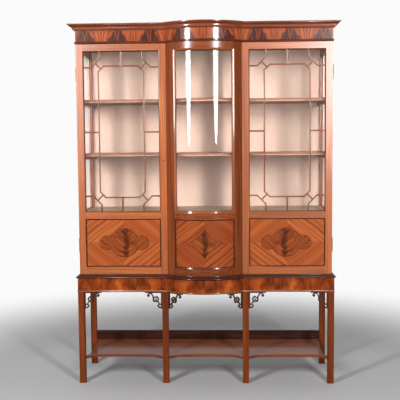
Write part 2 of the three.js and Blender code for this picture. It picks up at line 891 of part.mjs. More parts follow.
// Lock let into the back of the free stile, with its keyhole bush through the face
function lockGeometry(hand) {
  const free = hingeOverhang + doorWidth;
  const back = -seat;
  const middleY = back - lockDepth / 2;
  const bush = hand * (free - keyholeInset);
  const frontFace = -doorThickness - seat - escutcheonProud;
  const boltHole = block(
    ...doorSpan(hand, free - boltLength - boltPlay - running, free + overrun),
    middleY - boltThickness / 2 - boltPlay, middleY + boltThickness / 2 + boltPlay,
    lockHeight - boltTall / 2 - boltPlay, lockHeight + boltTall / 2 + boltPlay,
  );
  const body = block(
    ...doorSpan(hand, free - lockWidth, free - seat),
    back - lockDepth, back,
    lockHeight - lockTall / 2, lockHeight + lockTall / 2,
  );
  const tube = disc(bush, lockHeight, escutcheonRadius, frontFace, back - lockDepth + seat, hingeSides);
  const keyway = disc(bush, lockHeight, keyholeRadius, frontFace - overrun, middleY, hingeSides);
  return cut(join(body, tube), boltHole, keyway);
}

function boltGeometry(hand) {
  const free = hingeOverhang + doorWidth - running;
  const middleY = -seat - lockDepth / 2;
  return block(
    ...doorSpan(hand, free - boltLength, free),
    middleY - boltThickness / 2, middleY + boltThickness / 2,
    lockHeight - boltTall / 2, lockHeight + boltTall / 2,
  );
}

// Butt hinge: a leaf let into the side frame and a barrel on the pivot line
function hingeGeometry(hand) {
  const leaf = block(
    ...doorSpan(hand, 0, hingeOverhang + leafWidth),
    running - seat, running - seat + leafThickness,
    0, hingeHeight,
  );
  return join(leaf, upright(0, 0, hingeRadius, 0, hingeHeight, hingeSides));
}

function buildDoors() {
  const doors = new THREE.Group();
  for (const { name, sign } of sides) {
    const hand = -sign;
    const door = new THREE.Group();
    door.position.set(sign * (carcaseHalf + hingeOverhang), doorBack + seat, 0);
    const pane = doorPane(hand, glassSetback, doorGlassThickness, glassBase, glassTop);
    const panel = doorPane(hand, panelSetback, panelThickness, panelBase, panelTop);
    door.add(piece(`door_frame_${name}`, doorFrameGeometry(hand), doorMahogany));
    door.add(piece(`glazing_bars_${name}`, glazingBarGeometry(hand), caseMahogany));
    door.add(piece(`door_glass_${name}`, pane, glass));
    door.add(piece(`door_panel_${name}`, panel, quarteredVeneer));
    door.add(piece(`lock_${name}`, lockGeometry(hand), brass));
    door.add(piece(`lock_bolt_${name}`, boltGeometry(hand), brass));
    door.add(piece(`hinge_lower_${name}`, hingeGeometry(hand), brass, 0, 0, hingeBases[0]));
    door.add(piece(`hinge_upper_${name}`, hingeGeometry(hand), brass, 0, 0, hingeBases[1]));
    doors.add(door);
  }
  return doors;
}

// Necking bead, frieze boards and cornice

function buildNeckingBead() {
  const face = -carcaseInset;
  const top = neckBase + neckHeight;
  const shares = [[0.2, 0], [0.77, 0.15], [1, 0.5], [0.77, 0.85], [0.2, 1]];
  const profile = [
    [face - friezeThickness, neckBase],
    ...shares.map(([out, up]) => [face + out * neckProjection, neckBase + up * neckHeight]),
    [face - friezeThickness, top],
  ];
  return piece('necking_bead', moulding(profile), darkMahogany);
}

function buildFrieze() {
  const frieze = new THREE.Group();
  const face = -carcaseInset;
  const jointX = bowJunction(face);
  const bow = bowBand(face, face - friezeThickness, jointX, friezeBase, friezeTop);
  frieze.add(piece('frieze_bow', bow, flameVeneer));
  const frontLength = carcaseHalf - jointX - seat;
  const endLength = standDepth - carcaseFront - friezeThickness - seat;
  const middleZ = (friezeBase + friezeTop) / 2;
  for (const { name, sign } of sides) {
    const front = new THREE.BoxGeometry(frontLength, friezeThickness, friezeHeight);
    const end = new THREE.BoxGeometry(friezeThickness, endLength, friezeHeight);
    const frontX = sign * (carcaseHalf - frontLength / 2);
    const endX = sign * (carcaseHalf - friezeThickness / 2);
    const endY = standDepth - endLength / 2;
    const frontY = carcaseFront + friezeThickness / 2;
    frieze.add(piece(`frieze_front_${name}`, front, flameVeneer, frontX, frontY, middleZ));
    frieze.add(piece(`frieze_end_${name}`, end, caseMahogany, endX, endY, middleZ));
  }
  const backHalf = carcaseHalf - friezeThickness - seat;
  const backBase = neckBase + boardThickness + seat;
  const back = block(-backHalf, backHalf, backFront, standDepth, backBase, corniceBase + corniceHeight);
  frieze.add(piece('frieze_back', back, backWood));
  return frieze;
}

// From the frieze up: a step, an ovolo, a quirk, a wave and a square top edge
const corniceShares = [
  [0.05, 0],
  [0.06, 0.06],
  [0.2, 0.1],
  [0.31, 0.22],
  [0.36, 0.38],
  [0.36, 0.43],
  [0.43, 0.44],
  [0.47, 0.52],
  [0.6, 0.6],
  [0.74, 0.66],
  [0.84, 0.75],
  [0.89, 0.85],
  [0.96, 0.87],
  [1, 0.92],
  [1, 1],
];

function buildCornice() {
  const face = -carcaseInset;
  const profile = [
    [face - friezeThickness, corniceBase],
    ...corniceShares.map(([out, up]) => [
      face + out * corniceProjection,
      corniceBase + up * corniceHeight,
    ]),
    [face - friezeThickness, corniceBase + corniceHeight],
  ];
  return piece('cornice', moulding(profile), darkMahogany);
}

// The origin lies on the floor under the middle of the whole outline
const frontReach = bowCentre - (bowRadius - carcaseInset + corniceProjection);
const cabinet = new THREE.Group();
cabinet.position.y = -(frontReach + standDepth) / 2;
cabinet.add(
  buildLegs(),
  buildAprons(),
  buildStandBead(),
  buildStandTop(),
  buildUndertier(),
  buildFretBrackets(),
  buildCarcaseBoards(),
  buildSides(),
  buildBow(),
  buildDoors(),
  buildNeckingBead(),
  buildFrieze(),
  buildCornice(),
);

export default cabinet;
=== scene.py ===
# %% [markdown]
# A bow-front china cabinet: two glazed doors either side of a fixed curved centre, over veneered
# panels, on an open stand of six square legs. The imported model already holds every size, so this
# lesson only gives it its looks. Everything is in metres, +Z up, and the front faces -Y.

import json
import math
import random

import bmesh
import bpy
import numpy as np
from mathutils import Matrix, Vector

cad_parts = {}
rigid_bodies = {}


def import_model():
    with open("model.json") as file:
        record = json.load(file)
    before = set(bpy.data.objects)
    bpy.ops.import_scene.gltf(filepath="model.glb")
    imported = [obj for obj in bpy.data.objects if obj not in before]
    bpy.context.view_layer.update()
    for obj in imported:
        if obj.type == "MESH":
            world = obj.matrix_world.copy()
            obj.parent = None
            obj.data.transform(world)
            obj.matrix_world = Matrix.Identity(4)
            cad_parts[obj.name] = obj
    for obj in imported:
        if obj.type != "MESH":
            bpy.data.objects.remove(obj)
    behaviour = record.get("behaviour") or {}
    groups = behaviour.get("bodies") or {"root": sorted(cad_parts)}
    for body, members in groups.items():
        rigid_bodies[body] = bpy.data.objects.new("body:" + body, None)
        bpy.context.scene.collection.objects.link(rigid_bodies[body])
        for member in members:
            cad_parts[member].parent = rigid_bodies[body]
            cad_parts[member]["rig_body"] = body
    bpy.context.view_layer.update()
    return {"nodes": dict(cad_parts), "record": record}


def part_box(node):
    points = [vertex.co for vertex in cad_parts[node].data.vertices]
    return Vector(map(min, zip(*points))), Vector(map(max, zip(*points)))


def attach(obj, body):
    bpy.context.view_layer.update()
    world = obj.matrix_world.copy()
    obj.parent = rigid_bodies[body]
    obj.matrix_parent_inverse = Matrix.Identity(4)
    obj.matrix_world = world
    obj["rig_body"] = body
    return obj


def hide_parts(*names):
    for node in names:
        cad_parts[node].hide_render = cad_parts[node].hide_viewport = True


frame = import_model()
MM = 0.001
SIDES = (("left", -1), ("right", 1))
print("nodes in the frame:", len(frame["nodes"]))

# %% [markdown]
# Every board and moulding follows one plan: straight ends, straight fronts and a circular bow in
# the middle, offset outwards or inwards by one amount all round. Reading the plan from a few of
# the model's boxes, instead of typing it again, keeps the looks on the model when a size changes.

# %% The plan of the cabinet
# The gap between pieces that sit against each other, and between the boards of one piece
SEAT, HAIRLINE = 0.3 * MM, 0.1 * MM
PANE_LAP = 5.7 * MM
BOW_STEPS, RAIL_STEPS, STILE_STEPS = 64, 48, 8


def low(node):
    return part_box(node)[0]


def high(node):
    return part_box(node)[1]


def heights(node):
    return low(node).z, high(node).z


def depth_of(node):
    return high(node).y - low(node).y


def inner_x(node, sign):
    """Where a piece on the left or right ends towards the middle of the cabinet."""
    return low(node).x if sign > 0 else high(node).x


stand_half = high("apron_end_right").x
front_y = low("apron_front_left").y
back_y = high("apron_back").y
bow_half = high("apron_bow").x
bow_rise = front_y - low("apron_bow").y
bow_radius = (bow_half ** 2 + bow_rise ** 2) / (2 * bow_rise)
bow_centre_y = front_y - bow_rise + bow_radius
carcase_half = high("side_frame_right").x
CASE = carcase_half - stand_half


def on_bow(angle, offset):
    radius = bow_radius + offset
    return radius * math.sin(angle), bow_centre_y - radius * math.cos(angle)


def bow_angle(x, offset):
    return math.asin(x / (bow_radius + offset))


def bow_offset(node):
    """How far outside the plan the face of a bowed piece lies."""
    return front_y - bow_rise - low(node).y


def junction(offset):
    reach = bow_centre_y - front_y + offset
    return math.sqrt((bow_radius + offset) ** 2 - reach ** 2)


def bow_arc(offset, x0, x1, steps=BOW_STEPS):
    angles = np.linspace(bow_angle(x0, offset), bow_angle(x1, offset), steps + 1)
    return [on_bow(a, offset) for a in angles]


def plan(offset):
    """From the back left corner round the front to the back right corner."""
    half, y, j = stand_half + offset, front_y - offset, junction(offset)
    return [(-half, back_y), (-half, y), *bow_arc(offset, -j, j), (half, y), (half, back_y)]


print(f"bow radius {bow_radius:.4f} m, carcase offset {CASE / MM:.1f} mm")

# %% [markdown]
# The photograph's view was solved from the corners of the doors and legs: a long lens a little to
# the right of the middle, at the height of the door panels' top, turned and tipped slightly. The
# lens has no shift and no depth of field, so that the same camera can be moved to other views.

# %% Camera
CAMERA_PLACE = (0.1063, -3.89795, 1.2614)
CAMERA_YAW, CAMERA_PITCH, CAMERA_ROLL = 1.98, 4.61, -0.49
SENSOR_WIDTH = 36
LENS = 66.5


def in_scene(name, data):
    """A new object, linked to the scene."""
    result = bpy.data.objects.new(name, data)
    bpy.context.scene.collection.objects.link(result)
    return result


def mesh_of(name, points, faces=(), edges=()):
    mesh = bpy.data.meshes.new(name)
    mesh.from_pydata(points, edges, faces)
    return mesh


camera_data = bpy.data.cameras.new("camera")
camera_data.sensor_width = SENSOR_WIDTH
camera_data.lens = LENS
camera = in_scene("camera", camera_data)
camera.matrix_world = (
    Matrix.Translation(CAMERA_PLACE)
    @ Matrix.Rotation(math.radians(CAMERA_YAW), 4, "Z")
    @ Matrix.Rotation(math.radians(90 - CAMERA_PITCH), 4, "X")
    @ Matrix.Rotation(math.radians(CAMERA_ROLL), 4, "Z")
)
bpy.context.scene.camera = camera
bpy.context.scene.view_settings.view_transform = "Standard"
print("camera", [round(c, 3) for c in camera.location])

# %% [markdown]
# Shader and geometry trees are built by the same small helper: it adds one node, sets its
# properties, and either types a value into each input or links another node's output to it.

# %% Node helpers


def put(tree, kind, values=None, **settings):
    node = tree.nodes.new(kind)
    for key, value in settings.items():
        setattr(node, key, value)
    for key, value in (values or {}).items():
        if isinstance(value, bpy.types.NodeSocket):
            tree.links.new(value, node.inputs[key])
        else:
            node.inputs[key].default_value = value
    return node


def maths(tree, operation, first, second=0.0):
    return put(tree, "ShaderNodeMath", {0: first, 1: second}, operation=operation).outputs[0]


def plus(tree, first, second):
    return maths(tree, "ADD", first, second)


def minus(tree, first, second):
    return maths(tree, "SUBTRACT", first, second)


def times(tree, first, second):
    return maths(tree, "MULTIPLY", first, second)


def unsigned(tree, value):
    return maths(tree, "ABSOLUTE", value)


def hypotenuse(tree, first, second):
    squares = plus(tree, maths(tree, "POWER", first, 2.0), maths(tree, "POWER", second, 2.0))
    return maths(tree, "SQRT", squares)


def vectors(tree, operation, first, second=(0, 0, 0)):
    return put(tree, "ShaderNodeVectorMath", {0: first, 1: second}, operation=operation).outputs[0]


def joined(tree, x=0.0, y=0.0, z=0.0):
    return put(tree, "ShaderNodeCombineXYZ", {0: x, 1: y, 2: z}).outputs[0]


def parted(tree, vector):
    return put(tree, "ShaderNodeSeparateXYZ", {0: vector}).outputs


def between(tree, value, from_low, from_high, to_low=0.0, to_high=1.0):
    """Maps one range to another with soft ends."""
    values = {0: value, 1: from_low, 2: from_high, 3: to_low, 4: to_high}
    return put(tree, "ShaderNodeMapRange", values, interpolation_type="SMOOTHSTEP").outputs[0]


def mixed(tree, share, first, second):
    return put(tree, "ShaderNodeMix", {0: share, 2: first, 3: second}).outputs[0]


print("node helpers ready")

# %% [markdown]
# A finish is a colour pattern, how rough the surface is, and a very shallow relief. Noise gives
# the pattern: stretched along one direction it becomes fibres, and moved about by more noise it
# becomes figure. Two more helpers dim a colour by a share and turn a pattern into relief.

# %% Finish helpers
RELIEF = 0.0001


def noise(tree, vector, stretch=(1, 1, 1), detail=2.0, rough=0.5, output="Fac"):
    scaled = vectors(tree, "MULTIPLY", vector, stretch)
    values = {"Vector": scaled, "Scale": 1.0, "Detail": detail, "Roughness": rough}
    return put(tree, "ShaderNodeTexNoise", values).outputs[output]


def wandering(tree, place, stretch):
    """A place moved by up to 25 mm in its first two directions."""
    drift = vectors(tree, "SUBTRACT", noise(tree, place, stretch, output="Color"), (0.5, 0.5, 0.5))
    return vectors(tree, "ADD", place, vectors(tree, "MULTIPLY", drift, (0.05, 0.05, 0)))


def blended(tree, share, first, second):
    return put(tree, "ShaderNodeMix", {0: share, 6: first, 7: second}, data_type="RGBA").outputs[2]


def dimmed(tree, colour, share):
    return put(tree, "ShaderNodeVectorMath", {0: colour, "Scale": share}, operation="SCALE").outputs[0]


def relief(tree, height, strength, depth=RELIEF):
    values = {"Strength": strength, "Distance": depth, "Height": height}
    return put(tree, "ShaderNodeBump", values).outputs[0]


def on_object(tree):
    return put(tree, "ShaderNodeTexCoord").outputs["Object"]


def on_board(tree):
    return put(tree, "ShaderNodeAttribute", attribute_name="board").outputs["Vector"]


def linear(red, green, blue):
    """A colour read as 0 to 255 on the usual screen curve, as the shader wants it."""
    def one(value):
        share = value / 255
        return share / 12.92 if share <= 0.04045 else ((share + 0.055) / 1.055) ** 2.4
    return (one(red), one(green), one(blue), 1.0)


def new_finish(name):
    material = bpy.data.materials.new(name)
    material.use_nodes = True
    tree = material.node_tree
    return material, tree, tree.nodes["Principled BSDF"]


def wire(tree, shader, **values):
    for key, value in values.items():
        socket = shader.inputs[key.replace("_", " ")]
        if isinstance(value, bpy.types.NodeSocket):
            tree.links.new(value, socket)
        else:
            socket.default_value = value


print("finish helpers ready")

# %% [markdown]
# Polished mahogany shows mostly what it reflects. Two tall soft lamps in front, left and right,
# give the pair of long white streaks in the bent pane. A lamp is placed from its streak: where the
# bow mirrors it, which way it stands from there, and how far. Each is a wide veil with a narrow,
# brighter core before it, because the streaks have soft edges.

# %% Lamps
LAMP_LOW, LAMP_HIGH = 1.22, 2.9
STREAK_SHARE = 0.85
STREAK_DEPTH = front_y - STREAK_SHARE * bow_rise
# Where across the bow the streak stands, the lamp's bearing from there in degrees, and its distance
STREAKS = {"left": (-0.076, -34.4, 3.1), "right": (0.063, 24.8, 3.4)}
# How wide, as a share of the distance, how bright, and how much nearer
LAYERS = {"veil": (0.21, 10.4, 0.0), "core": (0.085, 36, 0.02)}


def tall_lamp(name, streak_x, bearing, distance, spread, radiance):
    data = bpy.data.lights.new(name, "AREA")
    data.shape = "ELLIPSE"
    data.size = spread * distance
    data.size_y = LAMP_HIGH - LAMP_LOW
    data.energy = radiance * math.pi * math.pi / 4 * data.size * data.size_y
    lamp = in_scene(name, data)
    turn = math.radians(bearing)
    lamp.location = (streak_x + distance * math.sin(turn), STREAK_DEPTH - distance * math.cos(turn),
                     (LAMP_LOW + LAMP_HIGH) / 2)
    lamp.rotation_euler = (math.radians(90), 0, turn)
    lamp.visible_camera = False


for layer, (spread, radiance, nearer) in LAYERS.items():
    for side, (streak_x, bearing, distance) in STREAKS.items():
        tall_lamp(f"lamp_{side}_{layer}", streak_x, bearing, distance - nearer, spread, radiance)
print("lamps:", len(STREAKS), "of", len(LAYERS), "layers")

# %% [markdown]
# The room is a world with three faces, told apart by Light Path. The camera, and a view straight
# through glass, see white. A polished face mirrors a dim room, a little paler behind and overhead,
# which keeps the polish deep. Everything else gets a faint ambient light, from behind more than
# from in front, where the panes look, so that the shelves and stiles cast real shadows inside.

# %% Room
WHITE = 0.96
AMBIENT_FRONT, AMBIENT_BACK = 0.04, 0.4
ROOM_DARK, ROOM_PALE, CEILING = 0.1, 0.5, 0.35


def seen_straight(tree):
    """One for a ray that the camera sends out, also through glass, and nothing for other rays."""
    ray = put(tree, "ShaderNodeLightPath").outputs
    # Light that bounces about inside and leaves through a pane is no view, and has a depth
    unbounced = maths(tree, "LESS_THAN", ray["Diffuse Depth"], 0.5)
    through_glass = times(tree, ray["Is Transmission Ray"], unbounced)
    return maths(tree, "MAXIMUM", ray["Is Camera Ray"], through_glass)


world = bpy.data.worlds.new("studio")
world.use_nodes = True
bpy.context.scene.world = world
sky = world.node_tree
_, away, up = parted(sky, put(sky, "ShaderNodeTexCoord").outputs["Generated"])
behind = between(sky, away, -0.4, 0.7, ROOM_DARK, ROOM_PALE)
mirrored = plus(sky, behind, between(sky, up, 0.2, 0.9, 0.0, CEILING))
ambient = between(sky, away, -0.35, 0.35, AMBIENT_FRONT, AMBIENT_BACK)
glossy = put(sky, "ShaderNodeLightPath").outputs["Is Glossy Ray"]
strength = mixed(sky, seen_straight(sky), mixed(sky, glossy, ambient, mirrored), WHITE)
wire(sky, sky.nodes["Background"], Color=(1, 1, 1, 1), Strength=strength)
print("room is set")

# %% [markdown]
# The floor is one plain pale sheet. It fades to the white of the room with distance, so that no
# horizon shows, and it keeps the cabinet's shadow. Light that it throws back is that of a greyer
# floor, because a white one would light the undersides far more than a real room does.

# %% Floor
FLOOR_HALF = 6
FADE_NEAR, FADE_FAR = 1.1, 2.6
FLOOR_GRAIN = 160

floor_finish, tree, shader = new_finish("floor")
place = on_object(tree)
away = put(tree, "ShaderNodeVectorMath", {0: place}, operation="LENGTH").outputs["Value"]
speckle = noise(tree, place, (FLOOR_GRAIN,) * 3, 3)
pale = blended(tree, speckle, linear(212, 212, 213), linear(230, 230, 230))
camera_ray = put(tree, "ShaderNodeLightPath").outputs["Is Camera Ray"]
wire(tree, shader, Base_Color=blended(tree, camera_ray, linear(118, 116, 114), pale), Roughness=0.8)
glow = put(tree, "ShaderNodeEmission", {"Strength": WHITE})
fade = times(tree, between(tree, away, FADE_NEAR, FADE_FAR), seen_straight(tree))
mix = put(tree, "ShaderNodeMixShader", {0: fade, 1: shader.outputs[0], 2: glow.outputs[0]})
tree.links.new(mix.outputs[0], tree.nodes["Material Output"].inputs["Surface"])

corners = [(x * FLOOR_HALF, y * FLOOR_HALF, 0) for x, y in ((-1, -1), (1, -1), (1, 1), (-1, 1))]
floor = in_scene("floor", mesh_of("floor", corners, [(0, 1, 2, 3)]))
floor.data.materials.append(floor_finish)
print("floor laid:", 2 * FLOOR_HALF, "m square")

# %% [markdown]
# Mahogany is built up as a polisher sees it: slow growth bands along the board, the ribbon of
# interlocked grain, fine fibres, and short dark pores that the polish doesn't quite fill. The
# pattern reads an attribute named board, which holds across, through and along the grain in
# metres, so that a stile's grain runs up and a rail's runs across, and no two boards match.

# %% Mahogany
POLISH_IOR, DOOR_IOR = 1.7, 1.95


def wood(name, pale, deep, ribbon=0.2, polish=0.3, coat=0.7, gloss=0.2, shine=POLISH_IOR):
    material, tree, shader = new_finish(name)
    board = on_board(tree)
    warped = wandering(tree, board, (7, 7, 1.1))
    growth = between(tree, noise(tree, warped, (110, 110, 2.0), 4, 0.6), 0.28, 0.72)
    sheen = noise(tree, warped, (34, 20, 3.5), 3)
    fibre = noise(tree, warped, (1000, 1000, 18), 2, 0.7)
    pores = between(tree, noise(tree, warped, (1500, 1500, 70), 1), 0.62, 0.72)
    tone = noise(tree, board, (1.7, 1.7, 0.5), 1)
    shade = plus(tree, between(tree, sheen, 0.3, 0.7, -ribbon / 2, ribbon / 2), 1.0)
    shade = times(tree, shade, between(tree, fibre, 0.25, 0.75, 0.88, 1.1))
    shade = times(tree, shade, between(tree, tone, 0.3, 0.7, 0.84, 1.14))
    colour = dimmed(tree, blended(tree, growth, linear(*deep), linear(*pale)), shade)
    in_pores = vectors(tree, "MULTIPLY", colour, (0.4, 0.34, 0.3))
    colour = blended(tree, times(tree, pores, 0.55), colour, in_pores)
    height = minus(tree, times(tree, fibre, 0.3), pores)
    rough = between(tree, fibre, 0.2, 0.8, polish - 0.05, polish + 0.09)
    wire(tree, shader, Base_Color=colour, Roughness=rough, Normal=relief(tree, height, 0.35),
         Specular_IOR_Level=0.15, Coat_Weight=coat, Coat_Roughness=gloss, Coat_IOR=shine)
    return material


DOOR_RED = wood("door_mahogany", (220, 122, 56), (184, 88, 36), coat=1.0, gloss=0.3, shine=DOOR_IOR)
CASE_RED = wood("case_mahogany", (168, 86, 40), (128, 57, 25))
LEG_RED = wood("leg_mahogany", (158, 75, 30), (115, 50, 18), coat=0.3, gloss=0.14)
EDGE_RED = wood("bead_mahogany", (190, 108, 60), (146, 76, 38), coat=1.0, gloss=0.06)
CORNICE_RED = wood("cornice_mahogany", (170, 92, 60), (124, 60, 38), coat=1.0, gloss=0.1)
NECK_RED = wood("necking_mahogany", (128, 60, 36), (88, 40, 24), coat=1.0, gloss=0.07)
WAIST_RED = wood("waist_mahogany", (96, 44, 24), (60, 28, 15), coat=0.3, gloss=0.06)
TIER_RED = wood("undertier_mahogany", (166, 90, 56), (122, 62, 39), coat=0.5, gloss=0.14)
DARK_RED = wood("dark_mahogany", (82, 42, 28), (48, 26, 19), coat=0.4)
FRET_RED = wood("fret_mahogany", (104, 60, 42), (62, 36, 27), ribbon=0.15, coat=0.8, gloss=0.1)
PANEL_RED = wood("panel_bead_mahogany", (112, 56, 30), (76, 38, 22), coat=1.0, gloss=0.08)
BAR_RED = wood("bar_mahogany", (176, 100, 66), (134, 74, 48), coat=1.0, gloss=0.2)
# Painted shade: the thin dark strips beside the panes and panels stand for the shadow in their quirks
SHADE_LINE_DARK = wood("painted_shade_wood", (58, 30, 20), (32, 18, 13), coat=0.2)
SHELF_RED = wood("shelf_wood", (158, 102, 76), (124, 76, 54), polish=0.4, coat=0.1)
FLOOR_OLIVE = wood("display_floor_wood", (166, 136, 104), (132, 104, 76), polish=0.4, coat=0.1)
BACK_PLAIN = wood("back_wood", (150, 112, 76), (108, 76, 48), polish=0.6, coat=0.0)
print("wood finishes:", len([m for m in bpy.data.materials if m.name.endswith(("mahogany", "wood"))]))

# %% [markdown]
# The frieze carries crotch veneer, cut where the trunk forks and laid as mirror pairs: bright
# flames that fan upwards, with dark patches between. A mirror pair is a triangle wave along the
# board, and the flames are noise on the angle round a point below each fan. Veneer is only a
# millimetre thick, so plain wood shows on the back of each board.

# %% Flame veneer
FAN_HALF = 0.0815
FRIEZE_TALL = high("frieze_bow").z - low("frieze_bow").z
# The point that a fan's flames spread from lies this far below the board
FAN_ROOT = 0.05
VENEER = 0.001
BACKING = (118, 78, 50)


def backing(tree, through, colour):
    """The colour on the face, and plain wood behind the veneer."""
    behind = between(tree, through, 0.9 * VENEER, 1.1 * VENEER)
    return blended(tree, behind, colour, linear(*BACKING))


def flame_veneer(name, bright, mid, dusk, dark):
    """Mirror pairs of crotch veneer. The board holds up, through and the count of fans."""
    material, tree, shader = new_finish(name)
    up, through, fans = parted(tree, on_board(tree))
    side = times(tree, maths(tree, "PINGPONG", fans, 0.5), 2.0)
    across = times(tree, side, FAN_HALF)
    pair = maths(tree, "FLOOR", plus(tree, fans, 0.5))
    place = joined(tree, across, up, times(tree, pair, 0.09))
    wobble = minus(tree, noise(tree, place, (26, 26, 26), 3), 0.5)
    # A fan is narrow at the foot and wide at the top; what lies outside it is a dark patch
    fan_edge = between(tree, up, 0.0, FRIEZE_TALL, 0.4, 0.66)
    outside = minus(tree, plus(tree, side, times(tree, wobble, 0.4)), fan_edge)
    root = plus(tree, up, FAN_ROOT)
    angle = plus(tree, maths(tree, "ARCTAN2", across, root), times(tree, wobble, 0.22))
    polar = joined(tree, angle, hypotenuse(tree, across, root), pair)
    flame = noise(tree, polar, (13, 8, 3), 3, 0.6)
    thread = noise(tree, polar, (52, 10, 3))
    fibre = noise(tree, joined(tree, across, up, fans), (500, 30, 2))
    fan = blended(tree, between(tree, flame, 0.3, 0.54), linear(*dusk), linear(*mid))
    fan = blended(tree, between(tree, flame, 0.5, 0.72), fan, linear(*bright))
    murk = noise(tree, place, (70, 16, 20), 3)
    gloom = blended(tree, between(tree, murk, 0.36, 0.7), linear(*dark), linear(*dusk))
    # A thin bright V stands in the middle of each dark patch
    vee = minus(tree, times(tree, minus(tree, 1.0, side), FAN_HALF), times(tree, up, 0.2))
    vee = unsigned(tree, plus(tree, vee, times(tree, wobble, 0.02)))
    gloom = blended(tree, between(tree, vee, 0.001, 0.0042, 0.6, 0.0), gloom, linear(*mid))
    colour = backing(tree, through, blended(tree, between(tree, outside, -0.08, 0.09), fan, gloom))
    shade = between(tree, thread, 0.32, 0.66, 0.74, 1.14)
    shade = times(tree, shade, between(tree, fibre, 0.3, 0.7, 0.93, 1.06))
    colour = dimmed(tree, colour, shade)
    wire(tree, shader, Base_Color=colour, Roughness=0.32, Normal=relief(tree, fibre, 0.15),
         Specular_IOR_Level=0.3, Coat_Weight=1.0, Coat_Roughness=0.07, Coat_IOR=1.8)
    return material


FRIEZE_FLAME = flame_veneer("frieze_flame", (232, 128, 60), (180, 82, 38), (114, 46, 27), (66, 29, 23))
print("frieze veneer made")

# %% [markdown]
# The aprons' veneer has a softer figure: cloudy upright curls, which are noise stretched upwards
# whose places wander. It is mirrored about one place on each board, as leaves cut one after the
# other and opened like a book are.

# %% Curled veneer


def curl_veneer(name, bright, mid, dark):
    material, tree, shader = new_finish(name)
    up, through, fans = parted(tree, on_board(tree))
    along = times(tree, unsigned(tree, fans), 2 * FAN_HALF)
    place = joined(tree, along, up, times(tree, maths(tree, "SIGN", fans), 0.004))
    curled = wandering(tree, place, (16, 16, 16))
    cloud = noise(tree, curled, (17, 8, 40), 3, 0.55)
    streak = noise(tree, curled, (70, 9, 40), 3, 0.6)
    fibre = noise(tree, place, (520, 26, 40))
    colour = blended(tree, between(tree, cloud, 0.34, 0.56), linear(*dark), linear(*mid))
    colour = blended(tree, between(tree, cloud, 0.5, 0.7), colour, linear(*bright))
    shade = between(tree, streak, 0.32, 0.68, 0.82, 1.16)
    shade = times(tree, shade, between(tree, fibre, 0.3, 0.7, 0.93, 1.06))
    colour = dimmed(tree, backing(tree, through, colour), shade)
    wire(tree, shader, Base_Color=colour, Roughness=0.34, Normal=relief(tree, fibre, 0.15),
         Specular_IOR_Level=0.1, Coat_Weight=0.3, Coat_Roughness=0.1, Coat_IOR=POLISH_IOR)
    return material


APRON_FLAME = curl_veneer("apron_flame", (226, 120, 48), (174, 76, 26), (108, 44, 15))
print("apron veneer made")

# %% [markdown]
# The lower panels are quartered: four leaves of striped veneer meet at the middle, so that the
# stripes close into diamonds, and a figured piece is let into the centre. On the doors it is a
# medallion, a circle between two lobes, and on the bow a star with hollow sides. Both are given as
# a distance that is negative inside, which draws the inlay and its dark outline alike.

# %% Inlay shapes
STAR_WIDE, STAR_TALL, STAR_POWER, STAR_SCALE = 0.096, 0.076, 0.78, 0.05
MEDALLION_RADIUS, LOBE_RADIUS, LOBE_PLACE, MEDALLION_ASIDE = 0.075, 0.0375, 0.09, 0.005


def star_distance(tree, x, z):
    reaches = []
    for value, reach in ((x, STAR_WIDE), (z, STAR_TALL)):
        share = maths(tree, "DIVIDE", unsigned(tree, value), reach)
        reaches.append(maths(tree, "POWER", share, STAR_POWER))
    return times(tree, minus(tree, plus(tree, *reaches), 1.0), STAR_SCALE)


def medallion_distance(tree, x, z):
    moved = minus(tree, x, MEDALLION_ASIDE)
    beside = minus(tree, unsigned(tree, moved), LOBE_PLACE)
    circle = minus(tree, hypotenuse(tree, moved, z), MEDALLION_RADIUS)
    lobe = minus(tree, hypotenuse(tree, beside, z), LOBE_RADIUS)
    return maths(tree, "MINIMUM", circle, lobe)


print("inlays: a star", 2 * STAR_WIDE, "m wide, and a medallion of radius", MEDALLION_RADIUS, "m")

# %% [markdown]
# The stripes are noise across a slanting distance, part of the way along plus part of the way up,
# both unsigned. Two of the four leaves are boldly striped, and their mirror partners nearly plain.
# The inlay's figure is growth lines that spread from its foot, round a dark feather with barbs.

# %% Quartered veneer
SLANT_ALONG, SLANT_UP = 0.6, 0.8
INLAY_FOOT = 0.1
LINE_HALF, LINE_FADE = 0.0006, 0.0024
SEAM_HALF, SEAM_FADE = 0.0003, 0.0012


def stripes(tree, x, z, pale, deep, line_colour):
    """The four leaves' colour, and their fibre."""
    wide, tall = unsigned(tree, x), unsigned(tree, z)
    drift = noise(tree, joined(tree, wide, 0.0, tall), (9, 1, 9))
    slant = plus(tree, times(tree, wide, SLANT_ALONG), times(tree, tall, SLANT_UP))
    slant = plus(tree, slant, times(tree, drift, 0.012))
    run = minus(tree, times(tree, wide, SLANT_UP), times(tree, tall, SLANT_ALONG))
    corner = maths(tree, "SIGN", times(tree, x, z))
    each = plus(tree, times(tree, corner, 0.004), times(tree, maths(tree, "SIGN", x), 0.0015))
    leaf = joined(tree, slant, run, each)
    stripe = noise(tree, leaf, (58, 1.6, 60))
    line = noise(tree, leaf, (190, 3, 60), 2, 0.45)
    fibre = noise(tree, leaf, (1300, 30, 60))
    bold = between(tree, corner, -1.0, 1.0, 1.0, 0.42)
    band = minus(tree, between(tree, stripe, 0.38, 0.62), 0.5)
    level = plus(tree, times(tree, band, bold), 0.5)
    thin = times(tree, between(tree, line, 0.55, 0.68, 0.0, 0.75), bold)
    colour = blended(tree, thin, blended(tree, level, linear(*deep), linear(*pale)), linear(*line_colour))
    return dimmed(tree, colour, between(tree, fibre, 0.3, 0.7, 0.93, 1.06)), fibre


